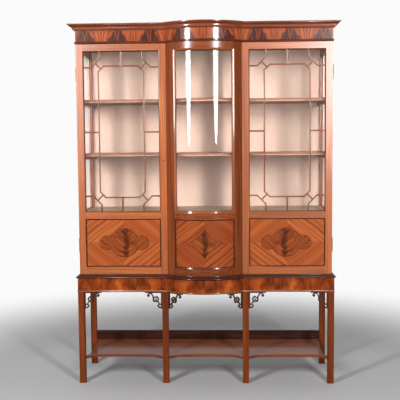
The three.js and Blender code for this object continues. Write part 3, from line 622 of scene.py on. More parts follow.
def figure(tree, board, x, z, feather):
    """The inlay's colour: a feather that stands at one place across, and growth lines beside it."""
    past = minus(tree, x, feather)
    lean = unsigned(tree, past)
    swirl = minus(tree, noise(tree, board, (24, 1, 24), 3), 0.5)
    foot = plus(tree, z, INLAY_FOOT)
    turn = plus(tree, maths(tree, "ARCTAN2", past, foot), times(tree, swirl, 0.3))
    flow = noise(tree, joined(tree, turn, hypotenuse(tree, past, foot), 0.0), (20, 7, 1), 3, 0.6)
    rise = plus(tree, z, times(tree, swirl, 0.02))
    rise = minus(tree, rise, times(tree, maths(tree, "SQRT", lean), 0.16))
    barb = noise(tree, joined(tree, rise, lean, maths(tree, "SIGN", past)), (72, 14, 3), 3, 0.62)
    zone = between(tree, plus(tree, lean, times(tree, swirl, 0.02)), 0.03, 0.052)
    spine = between(tree, plus(tree, lean, times(tree, swirl, 0.03)), 0.004, 0.022, 0.17, 0.0)
    level = between(tree, minus(tree, mixed(tree, zone, barb, flow), spine), 0.26, 0.66)
    return blended(tree, level, linear(88, 38, 18), linear(188, 92, 40))


def quartered_veneer(name, inlay_distance, pale, deep, line_colour, feather=0.0, level_seam=True):
    material, tree, shader = new_finish(name)
    board = on_board(tree)
    x, through, z = parted(tree, board)
    colour, fibre = stripes(tree, x, z, pale, deep, line_colour)
    distance = inlay_distance(tree, x, z)
    inside = between(tree, distance, -LINE_HALF, LINE_HALF, 1.0, 0.0)
    outline = between(tree, unsigned(tree, distance), LINE_HALF, LINE_FADE, 0.6, 0.0)
    colour = blended(tree, inside, colour, figure(tree, board, x, z, feather))
    colour = blended(tree, outline, colour, linear(96, 40, 20))
    joint = unsigned(tree, x)
    if level_seam:
        joint = maths(tree, "MINIMUM", joint, unsigned(tree, z))
    seam = times(tree, between(tree, joint, SEAM_HALF, SEAM_FADE, 0.3, 0.0), minus(tree, 1.0, inside))
    colour = blended(tree, seam, colour, linear(110, 50, 26))
    # The inner half of the panel is plain board with upright grain, seen when a door is open
    upright = between(tree, noise(tree, joined(tree, x, 0.0, z), (150, 1, 5), 3, 0.6), 0.3, 0.7)
    plain = blended(tree, upright, linear(150, 84, 48), linear(112, 60, 34))
    colour = blended(tree, between(tree, through, 0.0, VENEER / 2), colour, plain)
    wire(tree, shader, Base_Color=colour, Roughness=0.34, Normal=relief(tree, fibre, 0.2),
         Specular_IOR_Level=0.15, Coat_Weight=0.7, Coat_Roughness=0.16, Coat_IOR=POLISH_IOR)
    return material


DOOR_QUARTERED = quartered_veneer("door_quartered", medallion_distance, (214, 116, 60), (176, 78, 34),
                                  (130, 52, 22), feather=0.013)
BOW_QUARTERED = quartered_veneer("bow_quartered", star_distance, (196, 98, 46), (154, 64, 27),
                                 (108, 42, 19), level_seam=False)
print("quartered veneers made")

# %% [markdown]
# Old sheet glass isn't quite flat, so the pane gets a very slow ripple. Rays that carry shadow
# pass straight through, by Light Path, or the shelves behind would stand in the dark. The brass
# is aged: dull yellow, browner in patches. The lining is a plain tabby weave.

# %% Glass, brass and cloth
GLASS_IOR, RIPPLE = 1.45, 0.002
THREADS_PER_METRE, THREAD_RELIEF = 900, 0.0003


def glass_finish():
    material, tree, shader = new_finish("glass")
    ripple = noise(tree, on_object(tree), (5, 5, 3), 1)
    wire(tree, shader, Base_Color=(0.97, 0.985, 0.98, 1), Roughness=0.0, IOR=GLASS_IOR,
         Transmission_Weight=1.0, Normal=relief(tree, ripple, 0.12, RIPPLE))
    see_through = put(tree, "ShaderNodeBsdfTransparent")
    shadow = put(tree, "ShaderNodeLightPath").outputs["Is Shadow Ray"]
    mix = put(tree, "ShaderNodeMixShader", {0: shadow, 1: shader.outputs[0], 2: see_through.outputs[0]})
    tree.links.new(mix.outputs[0], tree.nodes["Material Output"].inputs["Surface"])
    return material


def brass_finish():
    material, tree, shader = new_finish("aged_brass")
    place = on_object(tree)
    stain = noise(tree, place, (300, 300, 300), 4, 0.65)
    scratch = noise(tree, place, (4000, 4000, 300), 1)
    colour = blended(tree, between(tree, stain, 0.35, 0.7), linear(168, 126, 64), linear(92, 62, 32))
    rough = between(tree, stain, 0.3, 0.7, 0.28, 0.5)
    wire(tree, shader, Base_Color=colour, Roughness=rough, Metallic=1.0,
         Normal=relief(tree, scratch, 0.2))
    return material


def lining_finish():
    material, tree, shader = new_finish("lining_cloth")
    across, _, up = parted(tree, on_board(tree))
    waves = [unsigned(tree, maths(tree, "SINE", times(tree, way, THREADS_PER_METRE * math.pi)))
             for way in (across, up)]
    weave = maths(tree, "MAXIMUM", *waves)
    place = joined(tree, across, 0.0, up)
    slub = noise(tree, place, (300, 1, 24))
    cloudy = noise(tree, place, (6, 1, 1.6), 3)
    colour = blended(tree, between(tree, cloudy, 0.3, 0.7), linear(213, 183, 164), linear(229, 195, 178))
    shade = between(tree, slub, 0.3, 0.7, 0.97, 1.02)
    shade = times(tree, shade, between(tree, weave, 0.0, 1.0, 0.9, 1.0))
    wire(tree, shader, Base_Color=dimmed(tree, colour, shade), Roughness=0.9, Sheen_Weight=0.2,
         Normal=relief(tree, weave, 0.5, THREAD_RELIEF))
    return material


CLEAR_GLASS = glass_finish()
AGED_BRASS = brass_finish()
LINING_CLOTH = lining_finish()
print("finishes in all:", len(bpy.data.materials))

# %% [markdown]
# A cabinet is made of boards, so the basic thing here is one board: its corners, its faces, and a
# rule that says how far across, through and along the grain each corner lies. A board can be a
# block, a slab with a drawn outline, or a section carried round the bow.

# %% Boards
ROLES = {
    "x": lambda p: (p[2], p[1], p[0]),
    "y": lambda p: (p[2], p[0], p[1]),
    "z": lambda p: (p[0], p[1], p[2]),
}


def circle(radius, sides):
    """Places round a centre."""
    turns = [2 * math.pi * k / sides for k in range(sides)]
    return [(radius * math.cos(turn), radius * math.sin(turn)) for turn in turns]


def loft(rings, grain=None, looped=False):
    """A skin over rings of points, with a cap on both ends unless it is looped."""
    count = len(rings[0])
    points = [tuple(p) for ring in rings for p in ring]
    faces = []
    for i in range(len(rings) if looped else len(rings) - 1):
        a, b = i * count, (i + 1) % len(rings) * count
        faces += [(a + k, b + k, b + (k + 1) % count, a + (k + 1) % count) for k in range(count)]
    if not looped:
        faces.append(tuple(range(count)))
        faces.append(tuple(range(len(points) - 1, len(points) - 1 - count, -1)))
    return points, faces, grain


def box_board(x, y, z, along="z"):
    corners = [(0, 0), (1, 0), (1, 1), (0, 1)]
    return loft([[(x[i], y[j], z[k]) for i, j in corners] for k in (0, 1)], ROLES[along])


def slab(outline, z0, z1, grain=ROLES["x"]):
    """A level outline between two heights."""
    return loft([[(x, y, z) for x, y in outline] for z in (z0, z1)], grain)


def bow_run(section, x0, x1, grain, steps=BOW_STEPS):
    """A section of (offset, height) carried round the bow from x0 to x1."""
    rings = []
    for share in np.linspace(0, 1, steps + 1):
        ring = []
        for offset, z in section:
            start, end = bow_angle(x0, offset), bow_angle(x1, offset)
            ring.append((*on_bow(start + share * (end - start), offset), z))
        rings.append(ring)
    return loft(rings, grain)


print("grain rules for boards that run along", *ROLES)

# %% [markdown]
# A board can also be what a box leaves of the model's own solid, so that its size and its joints
# are the model's. And one board can be taken out of another, as a drill or a chisel would do it.

# %% Boards from the model
MERGE, FLAT_ANGLE = 0.01 * MM, math.radians(0.5)


def node_board(node, along, x=(None, None), y=(None, None), z=(None, None)):
    """What a box leaves of a node's solid, as one board."""
    bm = bmesh.new()
    bm.from_mesh(frame["nodes"][node].data)
    bmesh.ops.remove_doubles(bm, verts=bm.verts, dist=MERGE)
    bmesh.ops.dissolve_limit(bm, angle_limit=FLAT_ANGLE, verts=bm.verts, edges=bm.edges)
    for axis, limits in enumerate((x, y, z)):
        for value, sign in zip(limits, (-1, 1)):
            if value is None:
                continue
            at, normal = Vector((0, 0, 0)), Vector((0, 0, 0))
            at[axis], normal[axis] = value, sign
            geometry = bm.verts[:] + bm.edges[:] + bm.faces[:]
            bmesh.ops.bisect_plane(bm, geom=geometry, plane_co=at, plane_no=normal, clear_outer=True)
            bmesh.ops.holes_fill(bm, edges=[e for e in bm.edges if e.is_boundary], sides=0)
    bm.verts.index_update()
    points = [tuple(v.co) for v in bm.verts]
    faces = [tuple(v.index for v in f.verts) for f in bm.faces]
    bm.free()
    return points, faces, ROLES[along]


def merged(boards):
    points, faces = [], []
    for board_points, board_faces, _ in boards:
        faces += [[len(points) + i for i in face] for face in board_faces]
        points += board_points
    return points, faces


def settled(thing):
    """A plain mesh of what an object's modifiers make."""
    bpy.context.view_layer.update()
    return bpy.data.meshes.new_from_object(thing.evaluated_get(bpy.context.evaluated_depsgraph_get()))


def carved(board, cutter):
    """A board with another one taken out of it."""
    things = []
    for points, faces, _ in (board, cutter):
        mesh = mesh_of("carving", points, faces)
        bm = bmesh.new()
        bm.from_mesh(mesh)
        bmesh.ops.recalc_face_normals(bm, faces=bm.faces)
        bm.to_mesh(mesh)
        bm.free()
        things.append(in_scene("carving", mesh))
    cut = things[0].modifiers.new("cut", "BOOLEAN")
    cut.operation, cut.solver, cut.object = "DIFFERENCE", "EXACT", things[1]
    mesh = settled(things[0])
    for spent in things:
        bpy.data.objects.remove(spent)
    return [tuple(v.co) for v in mesh.vertices], [tuple(f.vertices) for f in mesh.polygons], board[2]


print("corners of one leg:", len(node_board("leg_front_left", "z")[0]))

# %% [markdown]
# Boards of one piece go into one mesh, each with its own stretch of timber, and a small bevel
# softens the edges. Then the piece is given its finish and the body that it rides on, and the
# model's nodes that it stands for are hidden.

# %% Pieces
timber = random.Random(11)
TIMBER_REACH = 9
CREASE, BEVEL_ANGLE = 38, math.radians(50)
LIGHT_EDGE, FINE_EDGE, BOARD_EDGE = 0.5 * MM, 0.6 * MM, 0.8 * MM
slots = {entry["node"]: entry["material_slot"] for entry in frame["record"]["subparts"]}
made = []


def write_board(mesh, places):
    """Stores how far across, through and along the grain every corner lies."""
    attribute = mesh.attributes.new("board", "FLOAT_VECTOR", "POINT")
    attribute.data.foreach_set("vector", [c for place in places for c in place])


def shade_edges(mesh, angle=CREASE):
    """Smooth faces, with a crease wherever two of them meet at more than an angle."""
    bm = bmesh.new()
    bm.from_mesh(mesh)
    bmesh.ops.recalc_face_normals(bm, faces=bm.faces)
    for face in bm.faces:
        face.smooth = True
    for edge in bm.edges:
        edge.smooth = edge.is_manifold and edge.calc_face_angle(0) < math.radians(angle)
    bm.to_mesh(mesh)
    bm.free()


def refinish(piece, finish):
    piece.data.materials.clear()
    piece.data.materials.append(finish)


def dress(piece, finish, nodes=(), body=None, slot=None):
    """Gives a piece its finish and the body that it rides on, and hides the nodes that it stands for."""
    refinish(piece, finish)
    body = body or frame["nodes"][nodes[0]]["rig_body"]
    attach(piece, body)
    if nodes:
        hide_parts(*nodes)
    slot = slot or (slots[nodes[0]] if nodes else None)
    made.append(piece.name)


def assemble(name, boards, finish, nodes=(), bevel=FINE_EDGE, fixed=False, crease=CREASE, **riding):
    """One piece of several boards. Fixed boards keep the place that their rule gives."""
    grain = []
    for points, _, rule in boards:
        stretch = Vector([0 if fixed else timber.uniform(-TIMBER_REACH, TIMBER_REACH) for _ in range(3)])
        grain += [Vector(rule(p)) + stretch for p in points]
    mesh = mesh_of(name, *merged(boards))
    write_board(mesh, grain)
    shade_edges(mesh, crease)
    piece = in_scene(name, mesh)
    if bevel:
        soft = piece.modifiers.new("edges", "BEVEL")
        soft.width, soft.segments, soft.limit_method = bevel, 2, "ANGLE"
        soft.angle_limit = BEVEL_ANGLE
        soft.harden_normals = True
    dress(piece, finish, nodes, **riding)
    return piece


print("material slots in the record:", len(set(slots.values())))

# %% [markdown]
# The stand first. The legs are plain square posts with crisp edges, so the model's own shape is
# right, and only a fine bevel and the finish are added.

# %% Legs
LEG_EDGE = 0.9 * MM
for place in ("front", "middle", "rear"):
    for side, _ in SIDES:
        node = f"leg_{place}_{side}"
        assemble(f"{node}_post", [node_board(node, "z")], LEG_RED, [node], bevel=LEG_EDGE)
print("legs:", len(made))

# %% [markdown]
# The aprons and the frieze are boards on edge. Their front faces carry the veneer, whose fans are
# counted from one fan's place on each straight board, and from the centre line, by the angle, on
# the bow. The ends and the back boards are plain.

# %% Aprons and frieze boards
FAN_PITCH = 2 * FAN_HALF
FAN_PLACE = 0.355
BOW_FAN_PITCH = 0.2055
HIDDEN_EDGE = 1.2 * MM


def straight_fans(base, offset):
    return lambda p: (p[2] - base, p[1] - front_y + offset, (abs(p[0]) - FAN_PLACE) / FAN_PITCH)


def bow_fans(base, offset):
    def rule(p):
        x, y = p[0], bow_centre_y - p[1]
        fans = math.atan2(x, y) * (bow_radius + CASE) / BOW_FAN_PITCH
        return p[2] - base, bow_radius + offset - math.hypot(x, y), fans
    return rule


for level, finish, offset in (("apron", APRON_FLAME, 0.0), ("frieze", FRIEZE_FLAME, CASE)):
    base, top = heights(f"{level}_bow")
    for side, _ in SIDES:
        node = f"{level}_front_{side}"
        board = (*node_board(node, "x")[:2], straight_fans(base, offset))
        assemble(f"{node}_board", [board], finish, [node], fixed=True)
        node = f"{level}_end_{side}"
        assemble(f"{node}_board", [node_board(node, "y")], CASE_RED, [node])
    inside = offset - depth_of(f"{level}_front_left")
    reach = high(f"{level}_bow").x
    section = [(offset, base), (inside, base), (inside, top), (offset, top)]
    run = bow_run(section, -reach, reach, bow_fans(base, offset))
    assemble(f"{level}_bow_board", [run], finish, [f"{level}_bow"], fixed=True)
    node = f"{level}_back"
    assemble(f"{node}_board", [node_board(node, "x")], BACK_PLAIN, [node], bevel=HIDDEN_EDGE)
print("boards so far:", len(made))

# %% [markdown]
# A moulding is one profile carried round the plan, mitred at the corners. Every offset of the plan
# has the same number of points, so the rings of the loft always match. The profiles are written as
# a joiner would draw them: fillets, quarter rounds, hollows and waves between two corners, each
# point a share of the way out and a share of the way up.

# %% Mouldings
CURVE_STEPS = 7
CORNICE_EDGE = 0.25 * MM
# How much the grain of a moulding shifts towards the back, so that the ends differ from the front
END_TILT = 0.2


def quarter_round(a, b, hollow=False):
    """From a to b: a round that leaves a outwards, or a hollow that leaves it upwards."""
    result = []
    for i in range(CURVE_STEPS + 1):
        turn = math.pi / 2 * i / CURVE_STEPS
        out, up = math.sin(turn), 1 - math.cos(turn)
        if hollow:
            out, up = up, out
        result.append((a[0] + (b[0] - a[0]) * out, a[1] + (b[1] - a[1]) * up))
    return result


def wave(a, b):
    """From a to b: a hollow that becomes a round."""
    result = []
    for i in range(2 * CURVE_STEPS + 1):
        share = i / (2 * CURVE_STEPS)
        out = 0.5 - 0.5 * math.cos(math.pi * share)
        result.append((a[0] + (b[0] - a[0]) * out, a[1] + (b[1] - a[1]) * share))
    return result


def upside_down(shares):
    return [(out, 1 - up) for out, up in reversed(shares)]


def carry(node, shares, inner, back, finish, bevel=0.0):
    """Carries shares between an inner offset and the model's outermost one round the plan."""
    outer, (base, top) = high(node).x - stand_half, heights(node)
    profile = [(inner + out * (outer - inner), base + up * (top - base)) for out, up in shares]
    profile = [(back, base), *profile, (back, top)]
    lines = [plan(offset) for offset, _ in profile]
    rings = [[(*line[k], z) for line, (_, z) in zip(lines, profile)] for k in range(len(lines[0]))]
    run = loft(rings, lambda p: (p[2] + p[1] * END_TILT, 0.0, p[0] + p[1]))
    assemble(f"{node}_moulding", [run], finish, [node], bevel=bevel)


frieze_inside = CASE - depth_of("frieze_front_left")
cornice_shares = [
    (0.04, 0.0), (0.05, 0.06), (0.16, 0.06),
    *quarter_round((0.17, 0.07), (0.37, 0.37)), (0.37, 0.42), (0.43, 0.43), (0.43, 0.47),
    *wave((0.44, 0.48), (0.9, 0.85)), (0.9, 0.87), (0.965, 0.88), (1.0, 0.92), (1.0, 1.0),
]
carry("cornice", cornice_shares, CASE, frieze_inside, CORNICE_RED, CORNICE_EDGE)
neck_shares = [(0.15, 0.0), (0.3, 0.02), *quarter_round((0.3, 0.06), (1.0, 0.5))]
carry("necking_bead", neck_shares + upside_down(neck_shares)[1:], CASE, frieze_inside, NECK_RED)
bead_shares = [(0.2, 0.0), *quarter_round((0.3, 0.0), (1.0, 0.42))]
carry("stand_bead", bead_shares + upside_down(bead_shares), 0.0, -depth_of("apron_front_left"), EDGE_RED)
print("mouldings carried round the plan: 3")

# %% [markdown]
# The top of the stand is a whole board, on which the carcase stands. Its moulded edge, a round
# with a wave above it, is the dark waist between the two, so the plan is filled in at every level.

# %% Waist moulding
waist_shares = [(0.5, 0.0), (0.86, 0.02), *quarter_round((0.9, 0.04), (1.0, 0.16)),
                *wave((1.0, 0.2), (-0.9, 0.96))[1:], (-1.05, 1.0)]
waist_out = high("stand_top").x - stand_half
base, top = heights("stand_top")
rings = [[(*p, base + up * (top - base)) for p in plan(out * waist_out)] for out, up in waist_shares]
waist = loft(rings, lambda p: (p[1] + p[2], 0.0, p[0]))
assemble("stand_top_slab", [waist], WAIST_RED, ["stand_top"], bevel=0.0)
print("waist moulding:", len(rings), "levels")

# %% [markdown]
# The undertier is a thin board hollowed between the legs, with a little ogee at each leg. The
# outline is the model's own rule drawn with more points, because the curves show from above.

# %% Undertier
TIER_EAR_LENGTH, TIER_EAR_DEPTH = 32 * MM, 22 * MM
TIER_EAR_FRONT, TIER_MID_FRONT = 12 * MM, 46 * MM
TIER_END_RECESS, TIER_END_EAR = 15 * MM, 20 * MM
TIER_EDGE, TIER_RAIL_EDGE = 1.4 * MM, 1.5 * MM
HOLLOW_STEPS = 28
HOLLOW_POWER = 0.22
ear_shares = [(0.0, 0.0), (0.26, 0.0), (0.34, 0.05), (0.4, 0.16), (0.44, 0.34), (0.48, 0.5), (0.52, 0.55),
              (0.58, 0.48), (0.66, 0.44), (0.74, 0.5), (0.84, 0.65), (1.0, 0.78)]


def tier_bay(x0, x1):
    """The front edge between two legs: an ear, a long hollow and an ear."""
    ear = [(along * TIER_EAR_LENGTH, front_y + TIER_EAR_FRONT + back * TIER_EAR_DEPTH)
           for along, back in ear_shares]
    start = [(x0 + along, y) for along, y in ear]
    end = [(x1 - along, y) for along, y in reversed(ear)]
    (hollow_x, hollow_y), span = start[-1], x1 - x0 - 2 * TIER_EAR_LENGTH
    sweep = front_y + TIER_MID_FRONT - hollow_y
    shares = [i / HOLLOW_STEPS for i in range(1, HOLLOW_STEPS)]
    hollow = [(hollow_x + share * span, hollow_y + sweep * math.sin(math.pi * share) ** HOLLOW_POWER)
              for share in shares]
    return [*start, *hollow, *end]


leg = high("leg_front_right").x - low("leg_front_right").x
tier_end = stand_half - leg - SEAT
mid_inner = low("leg_middle_right").x - SEAT
mid_outer = high("leg_middle_right").x + SEAT
behind_leg = front_y + leg + SEAT
tier_back = high("undertier").y
left = [(-tier_end + TIER_END_RECESS, back_y - leg - TIER_END_EAR),
        (-tier_end + TIER_END_RECESS, behind_leg + TIER_END_EAR), (-tier_end, behind_leg)]
front = [*tier_bay(-tier_end, -mid_outer), (-mid_outer, behind_leg), (-mid_inner, behind_leg),
         *tier_bay(-mid_inner, mid_inner), (mid_inner, behind_leg), (mid_outer, behind_leg),
         *tier_bay(mid_outer, tier_end)]
right = [(-x, y) for x, y in reversed(left)]
back = [(tier_end, back_y - leg), (tier_end, tier_back), (-tier_end, tier_back),
        (-tier_end, back_y - leg)]
tier = slab([*left, *front, *right, *back], *heights("undertier"))
assemble("undertier_board", [tier], TIER_RED, ["undertier"], bevel=TIER_EDGE)
rail = node_board("undertier_back_rail", "x")
assemble("undertier_back_rail_board", [rail], DARK_RED, ["undertier_back_rail"], bevel=TIER_RAIL_EDGE)
print("undertier outline:", len(left) + len(front) + len(right) + len(back), "points")

# %% [markdown]
# The shelves, the display floor and the bottom follow the bow in front and are notched round its
# posts, where they come that far forward. A painted highlight runs along the edges of the two
# shelves, just above their undersides: a pale line that stands for the light on their lower arris.
# It is a matter of colour only, so the shelf wood's own tree draws it at their two heights.

# %% Boards inside the carcase
POST_OUTER, POST_INNER, POST_DEPTH = 205.3 * MM, 164.7 * MM, 56.3 * MM
SHELF_RECESS, CLOSE_GAP = 62 * MM, 1.2 * MM
HIGHLIGHT_RISE, HIGHLIGHT_HALF, HIGHLIGHT_FADE = 2 * MM, 0.9 * MM, 1.2 * MM
post_back = front_y + POST_DEPTH
shelf_front = front_y + SHELF_RECESS
door_back = high("door_frame_left").y
close_front = door_back + CLOSE_GAP
frame_offset = bow_offset("carcase_bottom")


def inside_board(node, front_edge, offset):
    half, rear = high(node).x, high(node).y
    if front_edge < post_back:
        beside = [(-POST_OUTER, front_edge), (-POST_OUTER, post_back), (-POST_INNER, post_back)]
    else:
        beside = [(-POST_INNER, front_edge)]
    left = [(-half, rear), (-half, front_edge), *beside]
    arc = bow_arc(offset, -POST_INNER, POST_INNER, RAIL_STEPS)
    return slab([*left, *arc, *[(-x, y) for x, y in reversed(left)]], *heights(node))


def with_painted_highlight_line(material, levels):
    """Paints a pale line, a painted highlight, into the edge of the boards at these heights."""
    tree = material.node_tree
    into = tree.nodes["Principled BSDF"].inputs["Base Color"]
    ground = into.links[0].from_socket
    z = parted(tree, on_object(tree))[2]
    gaps = [unsigned(tree, minus(tree, z, level)) for level in levels]
    # Painted highlight: a pale band just above each shelf's underside, for the light on its lower arris
    line = between(tree, maths(tree, "MINIMUM", *gaps), HIGHLIGHT_HALF, HIGHLIGHT_FADE, 0.9, 0.0)
    tree.links.new(blended(tree, line, ground, linear(226, 186, 158)), into)


# The shelves get a painted highlight along their lower edges
with_painted_highlight_line(SHELF_RED, [low(node).z + HIGHLIGHT_RISE for node in ("shelf_upper", "shelf_lower")])
for node, finish, front_edge, offset in (
        ("shelf_upper", SHELF_RED, shelf_front, bow_offset("shelf_upper")),
        ("shelf_lower", SHELF_RED, shelf_front, bow_offset("shelf_upper")),
        ("display_floor", FLOOR_OLIVE, close_front, frame_offset),
        ("carcase_bottom", CASE_RED, close_front, frame_offset)):
    assemble(f"{node}_board", [inside_board(node, front_edge, offset)], finish, [node], bevel=BOARD_EDGE)
top_board = slab(plan(high("carcase_top").x - stand_half), *heights("carcase_top"))
assemble("carcase_top_board", [top_board], BACK_PLAIN, ["carcase_top"], bevel=BOARD_EDGE)
print("boards so far:", len(made))

# %% [markdown]
# The back is a row of upright boards with a small V at each joint, which only shows from behind.
# In front of it hangs the peach cloth that the photograph shows, pulled tight over a thin board,
# made as one block of the lining's own size.

# %% Back boards and lining
BACK_BOARDS, JOINT_EDGE = 9, 1.8 * MM
back_low, back_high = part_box("back_panel")
pitch = (back_high.x - back_low.x) / BACK_BOARDS
starts = [back_low.x + i * pitch for i in range(BACK_BOARDS)]
boards = [box_board((x0, x0 + pitch - HAIRLINE), (back_low.y, back_high.y), heights("back_panel"))
          for x0 in starts]
assemble("back_panel_boards", boards, BACK_PLAIN, ["back_panel"], bevel=JOINT_EDGE)

lining_low, lining_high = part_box("back_lining")
lining = assemble("back_lining_cloth", [box_board(*zip(lining_low, lining_high))], LINING_CLOTH,
                  ["back_lining"], bevel=0.0, fixed=True)

# %% [markdown]
# A bead with mitred corners lines each opening, as the light catches it in the photograph. A thin
# dark strip inside the bead, just in front of the pane or panel, is painted shade: it stands for
# the shadow in the quirk there. Each is one section carried round the opening: a slope that faces
# the opening a little, then a hollow that falls to the pane. Both end just short of the pane, and
# the bead reaches a hair under the frame.

# %% Beads
GLASS_BEAD, PANEL_BEAD = 3.4 * MM, 4.4 * MM
BEAD_SLOPE, BEAD_SHARE, BEAD_CREASE = 16, 0.45, 20
BEAD_SUNK, BEAD_UNDER, BEAD_FOOT, BEAD_GAP = 0.6 * MM, 0.05 * MM, 0.8 * MM, 0.15 * MM
LINE_WIDE, LINE_CORNER, LINE_TOP, LINE_GAP = 1.6 * MM, 0.55 * MM, 0.35 * MM, 0.12 * MM


def bead_section(wide, deep, slope=BEAD_SLOPE, share=BEAD_SHARE):
    sloped = share * wide
    fall = sloped * math.tan(math.radians(slope))
    curve = quarter_round((sloped, BEAD_SUNK + fall), (wide, deep - BEAD_FOOT), hollow=True)
    return [(-BEAD_UNDER, BEAD_SUNK), *curve, (wide, deep - BEAD_GAP), (-BEAD_UNDER, deep - BEAD_GAP)]


# A thin dark strip inside the bead, just in front of the pane: painted shade for the shadow in the quirk
def shade_line_section(wide, deep):
    outer = wide + LINE_WIDE
    return [(wide, deep - LINE_CORNER), (outer, deep - LINE_TOP), (outer, deep - LINE_GAP),
            (wide, deep - LINE_GAP)]


def bead_loop(low_u, high_u, z0, z1, section, place, steps=1):
    """A section of (inset, depth) carried round an opening, which place puts into space."""
    path = [(i / steps, 0) for i in range(steps)] + [(1, 0)]
    path += [(1 - i / steps, 1) for i in range(steps)] + [(0, 1)]
    rings = []
    for u, v in path:
        rings.append([place(low_u + inset + u * (high_u - low_u - 2 * inset),
                            z0 + inset + v * (z1 - z0 - 2 * inset), depth) for inset, depth in section])
    return loft(rings, lambda p: (p[1], 0.0, p[0] + p[2]), looped=True)


def trim(name, loops, finish, body, slot, crease=BEAD_CREASE):
    assemble(name, loops, finish, body=body, bevel=0.0, slot=slot, crease=crease)


print("bead sections:", len(bead_section(GLASS_BEAD, 2 * GLASS_BEAD)), "points")

# %% [markdown]
# A joiner's frame is stiles and rails: the stiles run right through and the rails sit between them.
# The model's frame is one solid, so it is cut along those joint lines, and each member gets its own
# grain. Each door has two openings, one for the pane and one for the panel.

# %% Door frames
RAIL_LAP = 1 * MM


def framed(node, way, sight, levels, **wall):
    """Stiles either side of the sight lines, and rails between them at each pair of heights."""
    a, b = sight
    boards = [node_board(node, "z", **{way: limits}, **wall)
              for limits in ((None, a - HAIRLINE), (b + HAIRLINE, None))]
    for level in levels:
        boards.append(node_board(node, way, **{way: (a + HAIRLINE, b - HAIRLINE)}, z=level, **wall))
    return boards


def in_sight(node):
    """The heights between which a pane or panel isn't hidden in its rebates."""
    return low(node).z + PANE_LAP, high(node).z - PANE_LAP


glass_base, glass_top = in_sight("door_glass_left")
panel_base, panel_top = in_sight("door_panel_left")
door_face = low("door_frame_left").y
openings = ((glass_base, glass_top, GLASS_BEAD, low("door_glass_left").y - door_face),
            (panel_base, panel_top, PANEL_BEAD, low("door_panel_left").y - door_face))
rails = [(None, panel_base + RAIL_LAP), (panel_top - RAIL_LAP, glass_base + RAIL_LAP),
         (glass_top - RAIL_LAP, None)]


def on_door(x, z, depth):
    return x, door_face + depth, z


for side, _ in SIDES:
    node, door = f"door_frame_{side}", f"door_{side}"
    pane_low, pane_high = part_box(f"door_glass_{side}")
    sight = (pane_low.x + PANE_LAP, pane_high.x - PANE_LAP)
    assemble(f"{node}_members", framed(node, "x", sight, rails), DOOR_RED, [node], bevel=LIGHT_EDGE)
    # The lines are painted shade: a dark strip in each opening's quirk
    lines = [bead_loop(*sight, z0, z1, shade_line_section(wide, deep), on_door)
             for z0, z1, wide, deep in openings]
    trim(f"door_lines_{side}", lines, SHADE_LINE_DARK, door, "door_mahogany", CREASE)
    for label, (z0, z1, wide, deep), finish in zip(("glass", "panel"), openings, (EDGE_RED, PANEL_RED)):
        bead = bead_loop(*sight, z0, z1, bead_section(wide, deep), on_door)
        trim(f"door_{label}_bead_{side}", [bead], finish, door, "door_mahogany")
print("door frames cut into members")

# %% [markdown]
# Each side of the carcase is a frame too, with a pane over a plain lower panel, and with bearers
# on its inner face that carry the shelves. It is cut in the same way, and the bearers, which lie
# inside the wall's own thickness, are one more board.

# %% Side frames
side_inner = high("carcase_bottom").x + SEAT
side_pane_depth = carcase_half - high("side_glass_right").x
light = (low("side_glass_right").y + PANE_LAP, high("side_glass_right").y - PANE_LAP)
light_base, light_top = in_sight("side_glass_right")
rails = [(None, panel_base - HAIRLINE), (panel_base + HAIRLINE, panel_top - HAIRLINE),
         (panel_top + HAIRLINE, light_base + RAIL_LAP), (light_top - RAIL_LAP, None)]
for side, sign in SIDES:
    node = f"side_frame_{side}"
    wall, bearer = (side_inner, None), (None, side_inner)
    if sign < 0:
        wall, bearer = (None, -side_inner), (-side_inner, None)
    boards = [*framed(node, "y", light, rails, x=wall), node_board(node, "y", x=bearer)]
    assemble(f"{node}_members", boards, CASE_RED, [node], bevel=LIGHT_EDGE)

    def on_side(y, z, depth, sign=sign):
        return sign * (carcase_half - depth), y, z

    # The line is painted shade: a thin dark strip in the quirk beside the pane
    for label, section, finish in (("bead", bead_section(GLASS_BEAD, side_pane_depth), EDGE_RED),
                                   ("line", shade_line_section(GLASS_BEAD, side_pane_depth), SHADE_LINE_DARK)):
        loop = bead_loop(*light, light_base, light_top, section, on_side)
        trim(f"side_{label}_{side}", [loop], finish, "cabinet", "case_mahogany")
print("boards so far:", len(made))

# %% [markdown]
# The bow frame is the same joinery on a curve. Its stiles are upright slabs whose plan follows the
# bow, its rails are sections carried round it, and posts stand behind the stiles and stop the
# doors. The left and right mortises for the lock bolts are cut into the stiles' outer edges.

# %% Bow frame
BOW_FRAME_HALF, BOW_FRAME_THICK, REBATE = 191 * MM, 22 * MM, 6 * MM
MORTISE_DEEP, MORTISE_OUT, PLAY = 7.8 * MM, 5 * MM, 0.8 * MM
STOP_GAP = 0.6 * MM
bow_low, bow_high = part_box("bow_frame")
bolt_low, bolt_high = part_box("lock_bolt_right")
bow_sight = high("bow_glass").x - PANE_LAP
bow_frame_back = CASE - BOW_FRAME_THICK
bow_rebate = bow_sight + REBATE
glass_seat, panel_seat = bow_offset("bow_glass") + SEAT, bow_offset("bow_panel") + SEAT
bow_glass_base, bow_glass_top = in_sight("bow_glass")
bow_panel_base, bow_panel_top = in_sight("bow_panel")


def upright(outline, sign):
    return slab([(sign * x, y) for x, y in outline], bow_low.z, bow_high.z, ROLES["z"])


def bow_stile():
    face = bow_arc(CASE, bow_sight, BOW_FRAME_HALF, STILE_STEPS)
    rear = bow_arc(bow_frame_back, BOW_FRAME_HALF, bow_rebate, STILE_STEPS)
    rebate = [on_bow(bow_angle(x, glass_seat), glass_seat) for x in (bow_rebate, bow_sight)]
    return [*face, *rear, *rebate]


